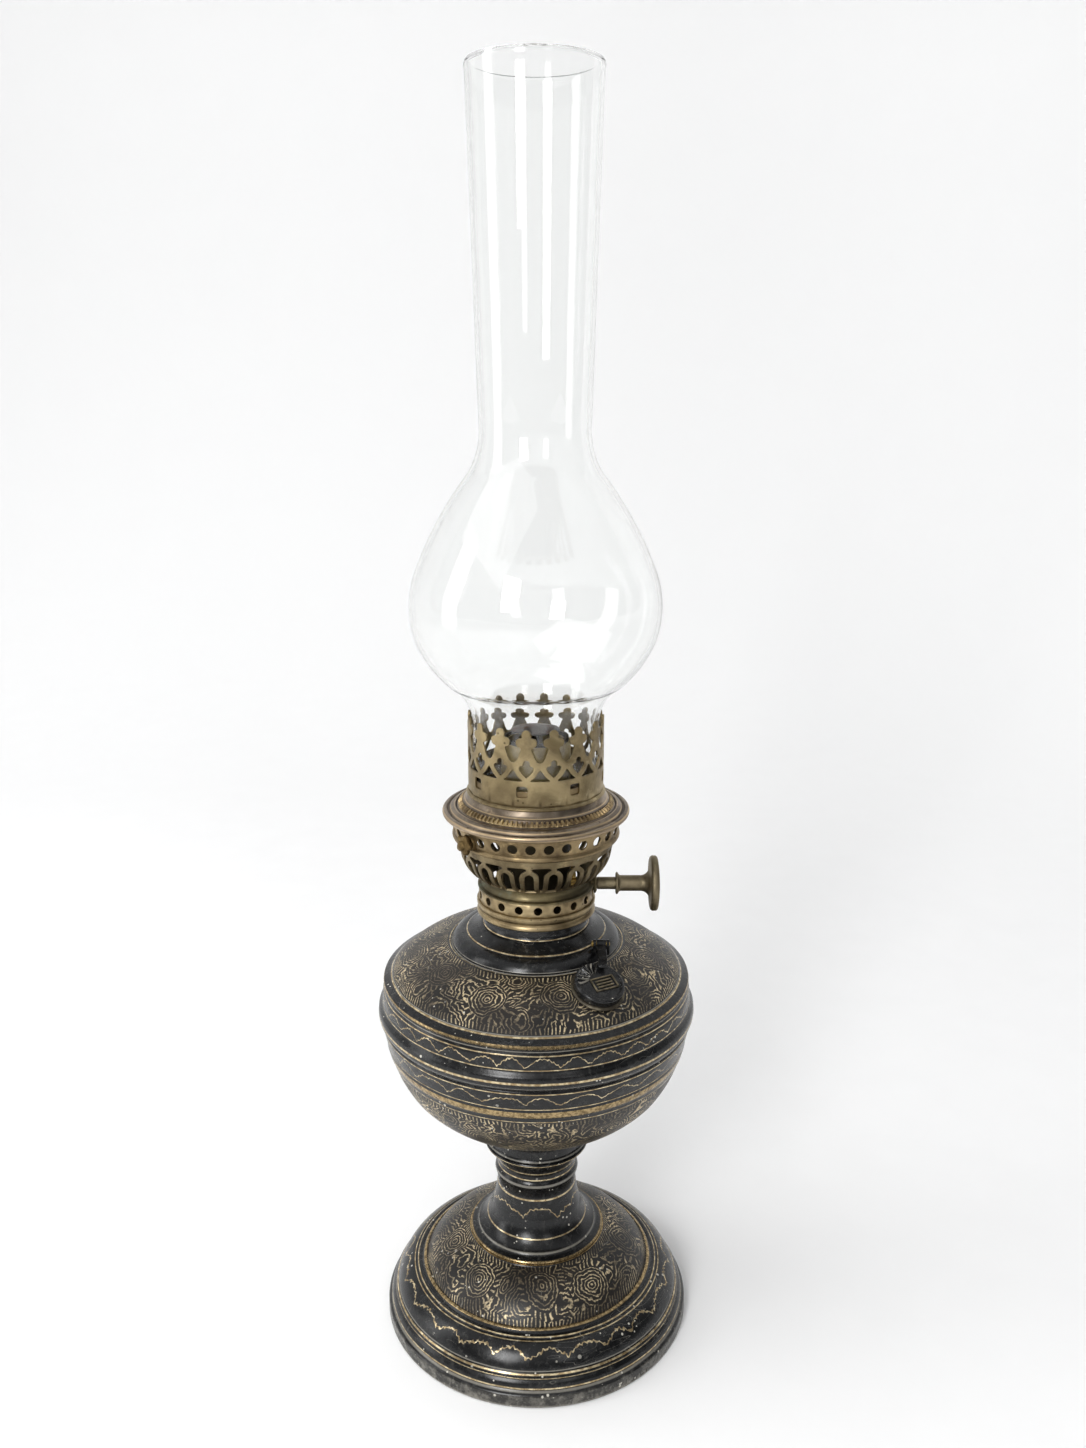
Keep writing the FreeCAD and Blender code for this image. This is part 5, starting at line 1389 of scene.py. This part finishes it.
lid = filler["tall"]
capOutline = [
    (0.0, lid - 1.0 * mm), (8.2 * mm, lid - 1.0 * mm), (8.2 * mm, 1.4 * mm),
    (10.2 * mm, 1.4 * mm),
    (10.4 * mm, 1.6 * mm), (10.4 * mm, lid - 1.3 * mm), bend(10.2 * mm, lid - 0.45 * mm),
    (9.4 * mm, lid - 0.1 * mm), (9.0 * mm, lid - 0.15 * mm), (8.7 * mm, lid - 0.35 * mm),
]
capOutline = profile(capOutline, 0.3 * mm)
capOutline += [(8.6 * mm * (1 - i / 26), lid - 0.35 * mm) for i in range(1, 26)]
capOutline.append((0.0, lid - 0.35 * mm))
capMarks = {
    "seed": 6.2,
    "fan": {
        "at": fillerAt @ Vector((fan["x"], fan["y"], lid)), "turned": filler["azimuth"],
        "centre": fillerAt @ Vector((0, 0, lid)), "reach": filler["radius"] - 0.9 * mm,
    },
}
capPaint = lacquerPaint("capLacquer", capMarks)
lathe("fillerCap", capOutline, "filler_cap", capPaint, ["filler_cap"], 180,
      at=fillerAt, shape=fanned)


def onCap(u, v, w):
    return tuple(fillerAt @ Vector((u, v, w)))


boxFaces = ((3, 2, 1, 0), (4, 5, 6, 7), (0, 1, 5, 4), (1, 2, 6, 5), (2, 3, 7, 6), (3, 0, 4, 7))


def capBars():
    # a plain raised frame with bars inside, turned a little on the cap
    panel = {"x": 1.5 * mm, "y": -1.1 * mm, "wide": 10.6 * mm, "deep": 6.6 * mm, "line": 0.62 * mm}
    turned = math.radians(-2)
    w, h, line = panel["wide"] / 2, panel["deep"] / 2, panel["line"]
    strips = [
        (-w, w, -h, -h + line), (-w, w, h - line, h), (-w, -w + line, -h, h),
        (w - line, w, -h, h),
        (-w + 1.7 * mm, w - 1.7 * mm, -line / 2, line / 2),
        (-w + 1.7 * mm, w - 1.7 * mm, 1.45 * mm - line / 2, 1.45 * mm + line / 2),
        (-w + 1.7 * mm, w - 1.7 * mm, -1.45 * mm - line / 2, -1.45 * mm + line / 2),
    ]
    vertices = []
    faces = []
    low, high = lid - 0.5 * mm, lid + 0.22 * mm
    for x0, x1, y0, y1 in strips:
        first = len(vertices)
        for z in (low, high):
            for x, y in ((x0, y0), (x1, y0), (x1, y1), (x0, y1)):
                u = panel["x"] + x * math.cos(turned) - y * math.sin(turned)
                v = panel["y"] + x * math.sin(turned) + y * math.cos(turned)
                vertices.append(onCap(u, v, z))
        for corners in boxFaces:
            faces.append(tuple(first + i for i in corners))
    soften(newPiece("capPanelBars", vertices, faces, "filler_cap", panelPaint,
                    ["cap_panel"], 30), 0.1 * mm)


capBars()

hinge = {"x": 27.5 * mm, "y": -21.5 * mm, "z": collarTop - 6.8 * mm, "half": 1.9 * mm}
layHinge = (Matrix.Translation((hinge["x"], hinge["y"], hinge["z"]))
            @ Matrix.Rotation(math.pi / 2, 4, "Y"))
knuckleOutline = [
    (0.98 * mm, -1.9 * mm), (1.7 * mm, -1.9 * mm), (1.9 * mm, -1.7 * mm), (1.9 * mm, 1.7 * mm),
    (1.7 * mm, 1.9 * mm), (0.98 * mm, 1.9 * mm),
]
lathe("strapKnuckle", profile(knuckleOutline, 0.5 * mm), "filler_cap", capPaint,
      (), 40, at=layHinge)
pinOutline = [
    (0.0, -4.2 * mm), (1.0 * mm, -4.15 * mm), bend(1.4 * mm, -3.9 * mm), (1.35 * mm, -3.45 * mm),
    (0.9 * mm, -3.4 * mm), (0.9 * mm, 3.3 * mm), (0.7 * mm, 3.5 * mm), (0.0, 3.5 * mm),
]
lathe("hingePin", profile(pinOutline, 0.3 * mm), "lamp_body", paints["pin"],
      ["cap_hinge_pin"], 40, at=layHinge)

landing = fillerAt @ Vector((0, filler["radius"] - 3.2 * mm, lid + 0.3 * mm))
lip = fillerAt @ Vector((0, filler["radius"] + 0.4 * mm, lid + 0.3 * mm))
py, pz = hinge["y"], hinge["z"]
thick = 1.0 * mm
strapOutline = [
    (landing.y, landing.z), (lip.y, lip.z), (py, pz - 0.4 * mm), (py, pz + 0.6 * mm),
    (lip.y, lip.z + thick), (landing.y, landing.z + thick),
]
prism("capStrap", strapOutline, hinge["x"] - hinge["half"], hinge["x"] + hinge["half"],
      lambda u, v, w: (w, u, v), "filler_cap", capPaint, ["cap_strap"], 0.25 * mm)
print("filler cap made")


# ---- wick, flame spreader, glass

level = bottom("spreader_disc")
spreaderOutline = [
    (1.4 * mm, level), (9.4 * mm, level), (10.1 * mm, level + 0.4 * mm),
    (10.2 * mm, level + 0.7 * mm),
    (9.6 * mm, level + 1.2 * mm), bend(5.1 * mm, level + 2.0 * mm), (0.0, level + 2.4 * mm),
    (0.0, level + 1.4 * mm), (1.4 * mm, level + 1.4 * mm),
]
heatSteel = steelPaint("heatSteel", {
    "deep": srgb(58, 54, 52), "steel": srgb(104, 98, 92), "rust": srgb(92, 62, 42),
    "rustFrom": 0.5,
})
plainSteel = steelPaint("plainSteel", {
    "deep": srgb(90, 90, 90), "steel": srgb(150, 150, 148), "rust": srgb(104, 70, 44),
    "rustFrom": 0.56,
})
lathe("spreaderDisc", profile(spreaderOutline, 0.4 * mm), "spreader", heatSteel,
      ["spreader_disc"], 96)

base = bottom("chimney_glass")
glassTop = top("chimney_glass")
chimney = {"fitter": 26.6 * mm, "ball": 51.5 * mm, "throat": 22.2 * mm, "mouth": 26.1 * mm,
           "wall": 1.8 * mm}
fitter, ball = chimney["fitter"], chimney["ball"]
throat, mouth = chimney["throat"], chimney["mouth"]
glassOutline = [
    (fitter - 0.3 * mm, base), (fitter, base + 0.3 * mm), (fitter, base + 30 * mm),
    bend(fitter + 2.2 * mm, base + 37 * mm), (fitter + 9.6 * mm, base + 44.6 * mm),
    bend(ball - 7.6 * mm, base + 53.2 * mm), (ball - 2.6 * mm, base + 62 * mm),
    bend(ball, base + 76 * mm), (ball - 3.2 * mm, base + 92.4 * mm),
    bend(ball - 12 * mm, base + 111 * mm), (throat + 4.6 * mm, base + 130 * mm),
    bend(throat + 1 * mm, base + 138.6 * mm), (throat, base + 146 * mm),
    (throat + 1.4 * mm, base + 196 * mm), (mouth - 0.2 * mm, glassTop - 3 * mm),
    bend(mouth, glassTop - 1 * mm), (mouth - 0.5 * mm, glassTop),
]
lathe("chimneyGlass", shell(glassOutline, chimney["wall"], 1.6 * mm), "chimney", glassPaint(),
      ["chimney_glass"], 192, sharp=60)
print("glass made")


# ---- finishes for the frame's own nodes that stay in view

kept = {
    "tie_rod": plainSteel, "foot_clamp_plate": plainSteel, "foot_washer": plainSteel,
    "foot_nut": plainSteel, "font_nut": plainSteel, "font_washer": plainSteel,
    "font_gasket": corkPaint(), "cap_hinge_ears": capPaint,
    "spindle_bracket": paints["basket"], "wick_tube_outer": paints["tube"],
    "draught_tube": paints["tube"], "air_duct": paints["basket"],
    "spreader_seat": paints["basket"], "wick": cottonPaint(), "wick_carrier": paints["pin"],
    "wick_pinion": paints["pin"], "spreader_stem": heatSteel, "chimney_spring": paints["skirt"],
}
kept["cap_gasket"] = kept["font_gasket"]
for name, material in kept.items():
    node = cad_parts[name]
    if not node.material_slots:
        node.data.materials.append(material)
    for place in node.material_slots:
        place.material = material
print("frame nodes finished")


# ---- floor, light and camera

stage = {"front": -4.0, "flat": 0.75, "curve": 0.9, "steps": 24, "top": 4.5, "half": 5.0}


def stageFloor():
    # one sheet: flat under the lamp, rising behind it in a wide curve
    flat, curve, steps, half = (stage[key] for key in ("flat", "curve", "steps", "half"))
    outline = [(stage["front"], 0.0), (flat, 0.0)]
    for i in range(1, steps + 1):
        t = math.pi / 2 * i / steps
        outline.append((flat + curve * math.sin(t), curve - curve * math.cos(t)))
    outline.append((flat + curve, stage["top"]))
    vertices = []
    faces = []
    for y, z in outline:
        vertices += [(-half, y, z), (half, y, z)]
    for i in range(len(outline) - 1):
        faces.append((2 * i, 2 * i + 1, 2 * i + 3, 2 * i + 2))
    mesh = bpy.data.meshes.new("paleFloor")
    mesh.from_pydata(vertices, [], faces)
    mesh.shade_smooth()
    sheet = bpy.data.objects.new("paleFloor", mesh)
    bpy.context.scene.collection.objects.link(sheet)
    paint = Paint("paleFloor")
    grain = paint.noise(paint.position(), 30.0, 2.0)
    colour = paint.mix(grain, srgb(239, 239, 239), srgb(242, 242, 242))
    # the sheet glows a little, more with distance, so that it doesn't fall to grey
    x, y, z = paint.parts(paint.position())
    glow = y.smooth(0.0, 1.65) * 0.17 + x.smooth(0.1, 0.9) * 0.1
    glow = glow + x.abs().smooth(1.0, 3.0) * 0.22 + (-y).smooth(1.5, 3.5) * 0.1
    mesh.materials.append(paint.finish(
        Base_Color=colour, Roughness=0.85, Emission_Color=paint.joined(glow, glow, glow),
        Emission_Strength=1.0))


stageFloor()
middle = (0.0, 0.0, 0.25)


def softLight(name, size, place, power):
    light = bpy.data.lights.new(name, "AREA")
    light.shape = "RECTANGLE"
    light.size, light.size_y = size
    light.energy = power
    lamp = bpy.data.objects.new(name, light)
    lamp.location = place
    lamp.rotation_euler = (Vector(middle) - Vector(place)).to_track_quat("-Z", "Y").to_euler()
    bpy.context.scene.collection.objects.link(lamp)
    return lamp


softLight("overhead", (1.6, 1.2), (-0.7, -0.3, 1.5), 10.5).visible_glossy = False
softLight("leftWindow", (0.42, 0.8), (-0.6, -1.4, 0.92), 17.0)
softLight("rightWindow", (0.3, 0.7), (0.6, -1.5, 0.92), 1.8)
softLight("leftSide", (0.4, 1.3), (-1.35, -0.2, 0.6), 5.0)


def paleRoom():
    # bright behind the lamp, greyer at the sides and behind the camera
    room = bpy.data.worlds.new("paleRoom")
    bpy.context.scene.world = room
    paint = Paint("paleRoom", room)
    x, y, z = paint.parts(paint.node("ShaderNodeTexCoord", out=0))
    share = y.smooth(-0.2, 0.75).most(z.smooth(0.35, 0.9))
    dark = paint.mix(x.smooth(-0.7, 0.6), (0.26, 0.262, 0.266), (0.07, 0.071, 0.073))
    colour = paint.mix(share, dark, (0.93, 0.935, 0.94))
    # seen straight on, or through the glass, the room is pale all round
    straight = paint.node("ShaderNodeLightPath", out="Is Camera Ray")
    through = paint.node("ShaderNodeLightPath", out="Is Transmission Ray")
    colour = paint.mix(straight.most(through), colour, (1.15, 1.155, 1.16))
    shader = paint.node("ShaderNodeBackground", {}, {"Color": colour, "Strength": 0.8})
    paint.tree.links.new(shader.out, paint.output.inputs["Surface"])


paleRoom()

view = {"place": (0.003, -0.50305, 0.42222), "down": 15.564, "lens": 31.10}
cameraData = bpy.data.cameras.new("lampCamera")
cameraData.lens = view["lens"]
cameraData.sensor_width = 36.0
cameraData.sensor_fit = "AUTO"
cameraData.clip_start = 0.01
camera = bpy.data.objects.new("lampCamera", cameraData)
camera.location = view["place"]
camera.rotation_euler = (math.radians(90 - view["down"]), 0, 0)
bpy.context.scene.collection.objects.link(camera)
bpy.context.scene.camera = camera
seen = bpy.context.scene.view_settings
seen.view_transform = "Standard"
seen.gamma = 0.95
print("stage set")
